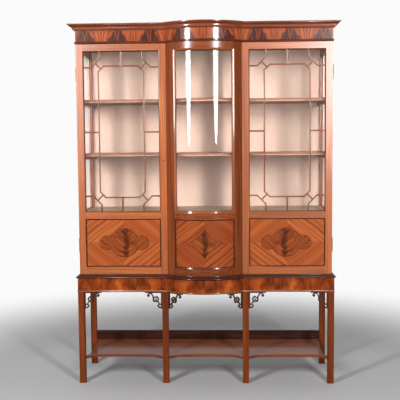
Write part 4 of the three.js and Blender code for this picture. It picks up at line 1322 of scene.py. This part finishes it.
def bow_rail(z0, z1, upper_seat=None, lower_seat=None):
    """A rail with a rebate at its upper or lower edge, wherever a pane or panel is seated."""
    section = [(CASE, z0), (CASE, z1)]
    if upper_seat:
        section += [(upper_seat, z1), (upper_seat, z1 - REBATE), (bow_frame_back, z1 - REBATE)]
    else:
        section.append((bow_frame_back, z1))
    if lower_seat:
        section += [(bow_frame_back, z0 + REBATE), (lower_seat, z0 + REBATE), (lower_seat, z0)]
    else:
        section.append((bow_frame_back, z0))
    return bow_run(section, -bow_sight + HAIRLINE, bow_sight - HAIRLINE, ROLES["x"], RAIL_STEPS)


boards = []
for side, sign in SIDES:
    xs = sorted((sign * (BOW_FRAME_HALF - MORTISE_DEEP), sign * (BOW_FRAME_HALF + MORTISE_OUT)))
    ys, zs = [(bolt_low[i] - PLAY, bolt_high[i] + PLAY) for i in (1, 2)]
    boards.append(carved(upright(bow_stile(), sign), box_board(xs, ys, zs)))
    rear = bow_arc(bow_frame_back - HAIRLINE, POST_INNER, BOW_FRAME_HALF, STILE_STEPS)
    boards.append(upright([*rear, (BOW_FRAME_HALF, bow_high.y), (POST_INNER, bow_high.y)], sign))
    xs = sorted((sign * (BOW_FRAME_HALF + HAIRLINE), sign * bow_high.x))
    boards.append(box_board(xs, (door_back + STOP_GAP, bow_high.y), (bow_low.z, bow_high.z)))
boards.append(bow_rail(bow_low.z, bow_panel_base, upper_seat=panel_seat))
boards.append(bow_rail(bow_panel_top, bow_glass_base, glass_seat, panel_seat))
boards.append(bow_rail(bow_glass_top, bow_high.z, lower_seat=glass_seat))
assemble("bow_frame_members", boards, CASE_RED, ["bow_frame"], bevel=LIGHT_EDGE)
print("bow frame: two stiles, two posts, two stops and three rails")

# %% [markdown]
# The bow's two openings have beads as well, bent with the frame. The one round the pane is wider
# and steeper than on the doors, so that it mirrors the lamps as a bright line on either side.

# %% Bow beads
BOW_BEAD, BOW_SLOPE, BOW_SHARE = 9 * MM, 18.5, 0.8
bow_face_radius = bow_radius + CASE
sight_run = bow_face_radius * bow_angle(bow_sight, CASE)


def on_bow_face(u, z, depth):
    return (*on_bow(u / bow_face_radius, CASE - depth), z)


for label, wide, leaning, finish in (("glass", BOW_BEAD, (BOW_SLOPE, BOW_SHARE), EDGE_RED),
                                     ("panel", PANEL_BEAD, (), PANEL_RED)):
    levels, deep = in_sight(f"bow_{label}"), CASE - bow_offset(f"bow_{label}")
    # The line is painted shade: a thin dark strip in each opening's quirk, beside the pane or panel
    for kind, section, colour in (("bead", bead_section(wide, deep, *leaning), finish),
                                  ("line", shade_line_section(wide, deep), SHADE_LINE_DARK)):
        loop = bead_loop(-sight_run, sight_run, *levels, section, on_bow_face, RAIL_STEPS)
        trim(f"bow_{label}_{kind}", [loop], colour, "cabinet", "case_mahogany")
print("the beads start", round(math.degrees(bow_angle(bow_sight, CASE)), 1), "degrees round the bow")

# %% [markdown]
# The bent pane and the bent panel follow one rule: a flat sheet whose every point keeps its height
# and is laid round the bow. Geometry Nodes make both from a finely divided block. The flat place
# is stored first, as the attribute board, so that the veneer's pattern bends with the sheet.

# %% Bent pane and panel by Geometry Nodes


def new_rule(name, inputs):
    tree = bpy.data.node_groups.new(name, "GeometryNodeTree")
    tree.interface.new_socket("Geometry", in_out="INPUT", socket_type="NodeSocketGeometry")
    tree.interface.new_socket("Geometry", in_out="OUTPUT", socket_type="NodeSocketGeometry")
    for label, kind in inputs.items():
        tree.interface.new_socket(label, in_out="INPUT", socket_type=f"NodeSocket{kind}")
    return tree, put(tree, "NodeGroupInput").outputs, put(tree, "NodeGroupOutput")


def shape(tree, kind, values=None, **settings):
    return put(tree, f"GeometryNode{kind}", values, **settings).outputs[0]


def moved(tree, geometry, **values):
    return shape(tree, "Transform", {"Geometry": geometry, **values})


def close_rule(tree, end, geometry, finish):
    realized = shape(tree, "RealizeInstances", {0: geometry})
    finished = shape(tree, "SetMaterial", {"Geometry": realized, "Material": finish})
    tree.links.new(finished, end.inputs[0])


def grown(name, tree, values, start=None):
    """Runs a rule on an object, and gives back a plain mesh object with creased edges."""
    source = in_scene(name, start or bpy.data.meshes.new(name))
    rule = source.modifiers.new("rule", "NODES")
    rule.node_group = tree
    for item in tree.interface.items_tree:
        if item.in_out == "INPUT" and item.name in values:
            rule[item.identifier] = values[item.name]
    plain = settled(source)
    source.modifiers.clear()
    source.data = plain
    plain.name = name
    shade_edges(plain)
    return source


bend, given, end = new_rule("bent_sheet", {
    "Run": "Float", "Tall": "Float", "Thick": "Float", "Steps": "Int", "Radius": "Float",
    "Centre Y": "Float", "Middle Z": "Float", "Finish": "Material"})
sizes = joined(bend, given["Run"], given["Thick"], given["Tall"])
block = shape(bend, "MeshCube", {"Size": sizes, "Vertices X": given["Steps"]})
flat = shape(bend, "InputPosition")
kept = shape(bend, "StoreNamedAttribute", {"Geometry": block, "Name": "board", "Value": flat},
             data_type="FLOAT_VECTOR", domain="POINT")
u, d, v = parted(bend, flat)
angle = maths(bend, "DIVIDE", u, given["Radius"])
radius = minus(bend, given["Radius"], d)
bent_x = times(bend, radius, maths(bend, "SINE", angle))
bent_y = minus(bend, given["Centre Y"], times(bend, radius, maths(bend, "COSINE", angle)))
bent_z = plus(bend, v, given["Middle Z"])
bent = shape(bend, "SetPosition", {"Geometry": kept, "Position": joined(bend, bent_x, bent_y, bent_z)})
close_rule(bend, end, bent, given["Finish"])

PANE_THICK, PANEL_THICK = 4 * MM, 8 * MM
for node, finish, thick in (("bow_glass", CLEAR_GLASS, PANE_THICK),
                            ("bow_panel", BOW_QUARTERED, PANEL_THICK)):
    base, top = heights(node)
    middle_radius = bow_radius + bow_offset(node) - thick / 2
    sheet_run = 2 * middle_radius * bow_angle(high(node).x, bow_offset(node))
    bent_sheet = grown(f"{node}_bent", bend, {
        "Run": sheet_run, "Tall": top - base, "Thick": thick, "Steps": BOW_STEPS + 1,
        "Radius": middle_radius, "Centre Y": bow_centre_y, "Middle Z": (base + top) / 2,
        "Finish": finish})
    dress(bent_sheet, finish, [node])
    print(node, "bent over", round(sheet_run, 4), "m")

# %% [markdown]
# The doors' panels are flat, so the model's own boards only need a bevel and places measured from
# their middle, mirrored on one door, so that the two doors make a pair. The flat panes and the
# bolts are right as they are in the model, and get a finish.

# %% Door panels, flat panes and bolts
PANEL_EDGE = 0.3 * MM
for side, sign in SIDES:
    node = f"door_panel_{side}"
    middle = (low(node) + high(node)) / 2

    def from_middle(p, middle=middle, sign=sign):
        return -sign * (p[0] - middle.x), p[1] - middle.y, p[2] - middle.z

    board = (*node_board(node, "z")[:2], from_middle)
    assemble(f"{node}_veneered", [board], DOOR_QUARTERED, [node], bevel=PANEL_EDGE, fixed=True)
    refinish(frame["nodes"][f"door_glass_{side}"], CLEAR_GLASS)
    refinish(frame["nodes"][f"side_glass_{side}"], CLEAR_GLASS)
    refinish(frame["nodes"][f"lock_bolt_{side}"], AGED_BRASS)
print("pieces so far:", len(made))

# %% [markdown]
# The glazing bars are a net of straight runs in front of one large pane: a long octagon tied to
# the frame. The net's edges are typed once, flat on the ground, where a curve's up direction is
# plain. Geometry Nodes turn each run into a bar of rounded section and stand the net upright.

# %% Glazing bars by Geometry Nodes
OCTAGON_SIDE, OCTAGON_END, OCTAGON_CHAMFER = 79 * MM, 77 * MM, 28 * MM
CORNER_ACROSS, CORNER_DROP, CORNER_REACH, CORNER_FALL = 86 * MM, 40 * MM, 43 * MM, 84 * MM
BAR_WIDTH, BAR_WEB, BAR_NOSE = 8.2 * MM, 4.8 * MM, 2.8 * MM
# Bars end a little under the bead, and the ties lie a hair higher than the runs that they meet
BAR_LAP, BAR_LIFT = 0.4 * MM, 0.12 * MM
BAR_END = GLASS_BEAD - BAR_LAP
NOSE_SIDES = 20
QUARTERS = ((1, 1), (-1, 1), (-1, -1), (1, -1))

bars, given, end = new_rule("glazing_bars", {
    "Width": "Float", "Depth": "Float", "Web": "Float", "Nose": "Float", "Place": "Vector",
    "Finish": "Material"})
runs = shape(bars, "MeshToCurve", {"Mesh": given["Geometry"]})
flat_runs = shape(bars, "SetCurveNormal", {"Curve": runs}, mode="Z_UP")
web_size = {"Width": given["Web"], "Height": minus(bars, given["Depth"], given["Nose"])}
web_place = joined(bars, 0.0, times(bars, given["Nose"], 0.5), 0.0)
web = moved(bars, shape(bars, "CurvePrimitiveQuadrilateral", web_size), Translation=web_place)
nose_tall = times(bars, given["Nose"], 2.0)
nose_place = joined(bars, 0.0, times(bars, minus(bars, given["Depth"], nose_tall), -0.5), 0.0)
nose = shape(bars, "CurvePrimitiveCircle", {"Resolution": NOSE_SIDES, "Radius": 0.5})
nose = moved(bars, nose, Translation=nose_place, Scale=joined(bars, given["Width"], nose_tall, 1.0))
both = put(bars, "GeometryNodeJoinGeometry")
for section in (web, nose):
    solid = shape(bars, "CurveToMesh", {"Curve": flat_runs, "Profile Curve": section, "Fill Caps": True})
    bars.links.new(solid, both.inputs[0])
stood = moved(bars, both.outputs[0], Translation=given["Place"], Rotation=(math.pi / 2, 0, 0))
close_rule(bars, end, stood, given["Finish"])


def bar_net(half_x, half_z):
    """The runs of one door's net: the octagon, four corner pieces with their ties, and four ties."""
    points, edges = [], []

    def run(*places, lift=0.0, closed=False):
        first = len(points)
        points.extend((*place, lift) for place in places)
        edges.extend((i, i + 1) for i in range(first, len(points) - 1))
        if closed:
            edges.append((len(points) - 1, first))

    octagon_x, octagon_z = half_x - OCTAGON_SIDE, half_z - OCTAGON_END
    ring = []
    for sx, sz in QUARTERS:
        across = (sx * (octagon_x - OCTAGON_CHAMFER), sz * octagon_z)
        along = (sx * octagon_x, sz * (octagon_z - OCTAGON_CHAMFER))
        ring += [along, across] if sx * sz > 0 else [across, along]
    run(*ring, closed=True)
    for sx, sz in QUARTERS:
        def at(from_side, from_end):
            return sx * (half_x - from_side), sz * (half_z - from_end)
        run(at(BAR_END, CORNER_FALL), at(CORNER_REACH, CORNER_FALL), at(CORNER_ACROSS, CORNER_DROP),
            at(CORNER_ACROSS, BAR_END))
        run(at((CORNER_REACH + CORNER_ACROSS) / 2, (CORNER_FALL + CORNER_DROP) / 2),
            at(OCTAGON_SIDE + OCTAGON_CHAMFER / 2, OCTAGON_END + OCTAGON_CHAMFER / 2), lift=BAR_LIFT)
    for s in (1, -1):
        run((s * (half_x - BAR_END), 0), (s * octagon_x, 0), lift=BAR_LIFT)
        run((0, s * (half_z - BAR_END)), (0, s * octagon_z), lift=BAR_LIFT)
    return mesh_of("bar_net", points, edges=edges)


for side, _ in SIDES:
    node = f"glazing_bars_{side}"
    node_low, node_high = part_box(node)
    middle, half = (node_low + node_high) / 2, (node_high - node_low) / 2
    piece = grown(f"{node}_astragals", bars, {
        "Width": BAR_WIDTH, "Depth": 2 * half.y, "Web": BAR_WEB, "Nose": BAR_NOSE, "Place": tuple(middle),
        "Finish": BAR_RED}, bar_net(half.x, half.z))
    write_board(piece.data, [(v.co.y, 0.0, v.co.x + v.co.z) for v in piece.data.vertices])
    dress(piece, BAR_RED, [node])
    print(node, "bars:", len(piece.data.polygons), "faces")

# %% [markdown]
# The brackets under the aprons are sawn out of thin board: scrolled stems run from the top bar
# to the leg bar through an open ring. One fret is drawn as tapering strokes, each a chain of
# discs, which a voxel remesh melts into one board with softened edges, as cut and rubbed wood is.

# %% One fret
bracket_low, bracket_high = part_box("bracket_end_left")
FRET_ROOM = 0.5 * MM
FRET = bracket_high.x - bracket_low.x - FRET_ROOM
FRET_THICK = bracket_high.y - bracket_low.y
FRET_GRAIN, FRET_STEP = 0.6 * MM, 0.9 * MM
BAR_SHARE, STROKE_FULLNESS, DISC_SIDES = 0.075, 1.28, 14
RUB_FACTOR, RUBS, FACES_KEPT = 0.5, 3, 0.4
# Strokes: away from the leg, down from the apron, and half width, all as shares of the fret
stroke_shares = [
    [(0.6, 0.05, 0.028), (0.72, 0.09, 0.03), (0.82, 0.15, 0.032), (0.86, 0.23, 0.028), (0.81, 0.28, 0.022),
     (0.76, 0.25, 0.02)],
    [(0.7, 0.06, 0.03), (0.63, 0.13, 0.032), (0.57, 0.22, 0.028), (0.53, 0.3, 0.03), (0.47, 0.36, 0.028)],
    [(0.44, 0.34, 0.026), (0.36, 0.3, 0.03), (0.27, 0.34, 0.034), (0.23, 0.43, 0.034), (0.27, 0.53, 0.034),
     (0.35, 0.58, 0.03), (0.44, 0.56, 0.026)],
    [(0.47, 0.36, 0.03), (0.52, 0.42, 0.032), (0.53, 0.5, 0.028), (0.5, 0.57, 0.02), (0.47, 0.61, 0.012)],
    [(0.3, 0.54, 0.03), (0.24, 0.61, 0.03), (0.19, 0.69, 0.028), (0.12, 0.74, 0.03), (0.05, 0.76, 0.03)],
    [(0.04, 0.95, 0.03), (0.13, 0.94, 0.032), (0.21, 0.9, 0.03), (0.26, 0.84, 0.026), (0.23, 0.78, 0.022)],
    [(0.36, 0.42, 0.024), (0.38, 0.46, 0.03), (0.36, 0.5, 0.018)],
]
ball_shares = [(0.77, 0.235, 0.036), (0.53, 0.335, 0.034), (0.445, 0.555, 0.036), (0.215, 0.79, 0.04),
               (0.34, 0.3, 0.04), (0.5, 0.5, 0.035)]


def smooth_stroke(stroke):
    """Catmull-Rom points along one stroke."""
    keys = [Vector(k) for k in (stroke[0], *stroke, stroke[-1])]
    result = []
    for a, b, c, d in zip(keys, keys[1:], keys[2:], keys[3:]):
        steps = max(2, int((c - b).length * FRET / FRET_STEP))
        for i in range(steps + 1):
            t = i / steps
            result.append(0.5 * (2 * b + (c - a) * t + (2 * a - 5 * b + 4 * c - d) * t * t
                                 + (3 * b - a - 3 * c + d) * t ** 3))
    return result


faces_at = (-FRET_THICK / 2, FRET_THICK / 2)


def disc(u, v, radius):
    ring = [(FRET * (u + a), -FRET * (v + b)) for a, b in circle(radius * STROKE_FULLNESS, DISC_SIDES)]
    return loft([[(x, y, z) for x, z in ring] for y in faces_at])


pieces = [box_board((0, FRET), faces_at, (-BAR_SHARE * FRET, 0)),
          box_board((0, BAR_SHARE * FRET), faces_at, (-FRET, 0))]
pieces += [disc(*point) for stroke in stroke_shares for point in smooth_stroke(stroke)]
pieces += [disc(*ball) for ball in ball_shares]
fret_mesh = mesh_of("fret", *merged(pieces))
shade_edges(fret_mesh)
fret = in_scene("fret", fret_mesh)
melt = fret.modifiers.new("melt", "REMESH")
melt.mode, melt.voxel_size = "VOXEL", FRET_GRAIN
rub = fret.modifiers.new("rub", "SMOOTH")
rub.factor, rub.iterations = RUB_FACTOR, RUBS
thin = fret.modifiers.new("thin", "DECIMATE")
thin.ratio = FACES_KEPT
fret.data = settled(fret)
fret.modifiers.clear()
print("one fret:", len(fret.data.polygons), "faces")

# %% [markdown]
# The same fret stands in six places, once beside each front leg and once either side of each middle
# one. A point marks each place and an attribute named turn says which way the fret looks; the two
# under the bow are turned to follow it, and keep clear of their leg by a little more.

# %% Six frets by Geometry Nodes
FRET_TURN, FRET_CREASE = math.radians(33), 50
frets, given, end = new_rule("six_frets", {"Fret": "Object", "Finish": "Material"})
pattern = put(frets, "GeometryNodeObjectInfo", {"Object": given["Fret"]}).outputs["Geometry"]
turn = shape(frets, "InputNamedAttribute", {"Name": "turn"}, data_type="FLOAT")
placed = shape(frets, "InstanceOnPoints", {
    "Points": given["Geometry"], "Instance": pattern, "Rotation": joined(frets, 0.0, 0.0, turn)})
close_rule(frets, end, placed, given["Finish"])

fret_y = (bracket_low.y + bracket_high.y) / 2
bow_clear = (SEAT + FRET_THICK / 2 * math.sin(FRET_TURN)) / math.cos(FRET_TURN)
corners, turns = [], []
for side, sign in SIDES:
    front_leg, middle_leg = f"leg_front_{side}", f"leg_middle_{side}"
    for x, away, angle, clear in ((inner_x(front_leg, sign), -sign, 0.0, SEAT),
                                  (inner_x(middle_leg, -sign), sign, 0.0, SEAT),
                                  (inner_x(middle_leg, sign), -sign, FRET_TURN, bow_clear)):
        rotation = -angle if away > 0 else math.pi + angle
        corners.append((x + clear * math.cos(rotation), fret_y + clear * math.sin(rotation),
                        bracket_high.z))
        turns.append(rotation)
places = mesh_of("fret_places", corners)
places.attributes.new("turn", "FLOAT", "POINT").data.foreach_set("value", turns)
six = grown("fret_brackets", frets, {"Fret": fret, "Finish": FRET_RED}, places)
bpy.data.objects.remove(fret)
shade_edges(six.data, FRET_CREASE)
write_board(six.data, [v.co for v in six.data.vertices])
brackets = [f"bracket_{place}_{side}" for place in ("end", "middle", "bow") for side, _ in SIDES]
dress(six, FRET_RED, brackets)
print("six frets:", len(six.data.polygons), "faces")

# %% [markdown]
# A butt hinge has two leaves and five knuckles on one pin: three knuckles belong to the cabinet's
# leaf and two to the door's. The door's leaf lies in the thin gap behind the stile. Every knuckle
# is turned about the pin and has a tongue that joins it to its leaf.

# %% Hinges
HINGE_RADIUS, KNUCKLE_SOFT, TURNED_SIDES = 4.5 * MM, 0.35 * MM, 36
KNUCKLES, KNUCKLE_GAP, PIN_RISE = 5, 0.3 * MM, 1.4 * MM
PIN_SECTION = ((3.2 * MM, 0.0), (3.2 * MM, 0.5), (2.2 * MM, 0.85), (0.8 * MM, 1.0))
LEAF_REACH, TONGUE_LAP = 21.6 * MM, 0.05 * MM
CABINET_SCREW_IN, DOOR_SCREW_IN, SCREW_SHARES = 9 * MM, 15 * MM, (0.14, 0.5, 0.86)
axis_x = high("hinge_lower_right").x - HINGE_RADIUS
axis_y = low("hinge_lower_right").y + HINGE_RADIUS
# How far behind the door each leaf starts and ends
CABINET_LEAF, DOOR_LEAF = (0.6 * MM, 2.6 * MM), (0.05 * MM, 0.3 * MM)
cabinet_leaf = [door_back + depth for depth in CABINET_LEAF]
door_leaf = [door_back + depth for depth in DOOR_LEAF]


def lathe(profile, x):
    """Turned about a hinge's axis: the profile is (radius, height)."""
    rings = [[(x + a, axis_y + b, z) for a, b in circle(radius, TURNED_SIDES)] for radius, z in profile]
    return loft(rings, ROLES["z"])


def knuckle(x, z0, z1):
    slim = HINGE_RADIUS - KNUCKLE_SOFT
    barrel = [(HINGE_RADIUS, z0 + KNUCKLE_SOFT), (HINGE_RADIUS, z1 - KNUCKLE_SOFT)]
    return lathe([(slim, z0), *barrel, (slim, z1)], x)


def pin_head(x, z, rise):
    return lathe([(radius, z + share * rise) for radius, share in PIN_SECTION], x)


cabinet_parts, cabinet_screws = [], []
door_screws = {"left": [], "right": []}
for side, sign in SIDES:
    door_parts = []
    axis = sign * axis_x
    inner, outer = axis - sign * LEAF_REACH, axis - sign * (HINGE_RADIUS + KNUCKLE_GAP)
    for level in ("lower", "upper"):
        z0, z1 = heights(f"hinge_{level}_{side}")
        base, rise = z0 + PIN_RISE, (z1 - z0 - 2 * PIN_RISE) / KNUCKLES
        for i in range(KNUCKLES):
            mine, leaf = (door_parts, door_leaf) if i % 2 else (cabinet_parts, cabinet_leaf)
            span = (base + i * rise + KNUCKLE_GAP / 2, base + (i + 1) * rise - KNUCKLE_GAP / 2)
            mine.append(knuckle(axis, *span))
            mine.append(box_board(sorted((outer + sign * TONGUE_LAP, axis)), leaf, span))
        cabinet_parts.append(box_board(sorted((inner, outer)), cabinet_leaf, (z0, z1)))
        door_parts.append(box_board(sorted((inner, outer)), door_leaf, (z0, z1)))
        cabinet_parts.append(pin_head(axis, z1 - PIN_RISE, PIN_RISE))
        cabinet_parts.append(pin_head(axis, z0 + PIN_RISE, -PIN_RISE))
        for share in SCREW_SHARES:
            z = z0 + share * (z1 - z0)
            cabinet_screws.append((axis - sign * CABINET_SCREW_IN, cabinet_leaf[0], z))
            door_screws[side].append((axis - sign * DOOR_SCREW_IN, door_leaf[1], z))
    assemble(f"door_knuckles_{side}", door_parts, AGED_BRASS, bevel=0.0, body=f"door_{side}",
             slot="brass")
hinges = [f"hinge_{level}_{side}" for level in ("lower", "upper") for side, _ in SIDES]
assemble("cabinet_hinges", cabinet_parts, AGED_BRASS, hinges, bevel=0.0)
print("hinges:", len(hinges))

# %% [markdown]
# The locks are cut locks let into the door's back edge, with a small turned bush round the keyhole
# in front. The bush's place is read from the model's own corners that stand proud of the door. A
# round hole and a slit below it are cut through it, and four screws hold the case behind.

# %% Locks
BUSH_SEAT, BUSH_PROUD, BUSH_SIDES = 0.3 * MM, 0.5 * MM, 40
BUSH_SECTION = ((4 * MM, BUSH_SEAT), (4 * MM, -0.45 * MM), (3.6 * MM, -0.85 * MM), (2.9 * MM, -0.98 * MM))
HOLE, HOLE_RISE, HOLE_SIDES = 1.3 * MM, 0.9 * MM, 24
SLIT_HALF, SLIT_DROP, CUT_REACH = 0.55 * MM, 2.9 * MM, 3 * MM
LOCK_SCREW_IN, LOCK_SCREW_UP, LOCK_EDGE = 4.5 * MM, 6 * MM, 0.15 * MM
through = (door_face - CUT_REACH, door_face + CUT_REACH)


def rod(profile, x, z, sides):
    """Turned about an axis from front to back: the profile is (radius, depth)."""
    rings = [[(x + a, y, z + b) for a, b in circle(radius, sides)] for radius, y in profile]
    return loft(rings, ROLES["z"])


def halfway(values):
    return (min(values) + max(values)) / 2


for side, _ in SIDES:
    node = f"lock_{side}"
    proud = [v.co for v in frame["nodes"][node].data.vertices if v.co.y < door_face - BUSH_PROUD]
    key_x, key_z = halfway([c.x for c in proud]), halfway([c.z for c in proud])
    bush = rod([(radius, door_face + y) for radius, y in BUSH_SECTION], key_x, key_z, BUSH_SIDES)
    drill = rod([(HOLE, y) for y in through], key_x, key_z + HOLE_RISE, HOLE_SIDES)
    slit = box_board((key_x - SLIT_HALF, key_x + SLIT_HALF), through,
                     (key_z - SLIT_DROP, key_z + HOLE_RISE))
    escutcheon = carved(carved(bush, drill), slit)
    case = node_board(node, "z", y=(door_face + BUSH_SEAT + HAIRLINE, None))
    assemble(f"{node}_case", [case, escutcheon], AGED_BRASS, [node], bevel=LOCK_EDGE)
    case_low, case_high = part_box(node)
    for x in (case_low.x + LOCK_SCREW_IN, case_high.x - LOCK_SCREW_IN):
        for z in (case_low.z + LOCK_SCREW_UP, case_high.z - LOCK_SCREW_UP):
            door_screws[side].append((x, case_high.y, z))
print("screws wanted:", len(cabinet_screws) + sum(len(spots) for spots in door_screws.values()))

# %% [markdown]
# Screws hold the leaves and the locks. A head is a low disc with a slot across it, and no two
# slots stand alike when a cabinet maker has driven them by hand, so each head is turned at random
# about its own axis, with a fixed seed for each body.

# %% Screw heads by Geometry Nodes
SCREW_RADIUS, SCREW_TALL, SCREW_SUNK = 2.6 * MM, 0.3 * MM, 0.1 * MM
HEAD_SIDES, SLOT_LONG, SLOT_WIDE = 28, 3.0, 0.26
screws, given, end = new_rule("screw_heads", {
    "Radius": "Float", "Tall": "Float", "Facing": "Float", "Seed": "Int", "Finish": "Material"})
head = shape(screws, "MeshCylinder", {
    "Vertices": HEAD_SIDES, "Radius": given["Radius"], "Depth": given["Tall"]})
slot_long, slot_wide = [times(screws, given["Radius"], share) for share in (SLOT_LONG, SLOT_WIDE)]
lifted = joined(screws, 0.0, 0.0, times(screws, given["Tall"], 0.5))
slot = shape(screws, "MeshCube", {"Size": joined(screws, slot_long, slot_wide, given["Tall"])})
slot = moved(screws, slot, Translation=lifted)
slotted = shape(screws, "MeshBoolean", {"Mesh 1": head, "Mesh 2": slot}, operation="DIFFERENCE")
spin = put(screws, "FunctionNodeRandomValue", {"Min": 0.0, "Max": math.pi, "Seed": given["Seed"]},
           data_type="FLOAT")
spin_out = [socket for socket in spin.outputs if socket.enabled][0]
set_in = shape(screws, "InstanceOnPoints", {
    "Points": given["Geometry"], "Instance": slotted,
    "Rotation": joined(screws, given["Facing"], spin_out, 0.0)})
close_rule(screws, end, set_in, given["Finish"])

for body, spots, facing, seed in (("cabinet", cabinet_screws, math.pi / 2, 3),
                                  ("door_left", door_screws["left"], -math.pi / 2, 5),
                                  ("door_right", door_screws["right"], -math.pi / 2, 8)):
    out = math.copysign(SCREW_TALL / 2 - SCREW_SUNK, facing)
    spots_mesh = mesh_of("screw_places", [(x, y + out, z) for x, y, z in spots])
    piece = grown(f"{body}_screws", screws, {
        "Radius": SCREW_RADIUS, "Tall": SCREW_TALL, "Facing": facing, "Seed": seed,
        "Finish": AGED_BRASS}, spots_mesh)
    dress(piece, AGED_BRASS, body=body, slot="brass")
    print(body, "screws:", len(spots))
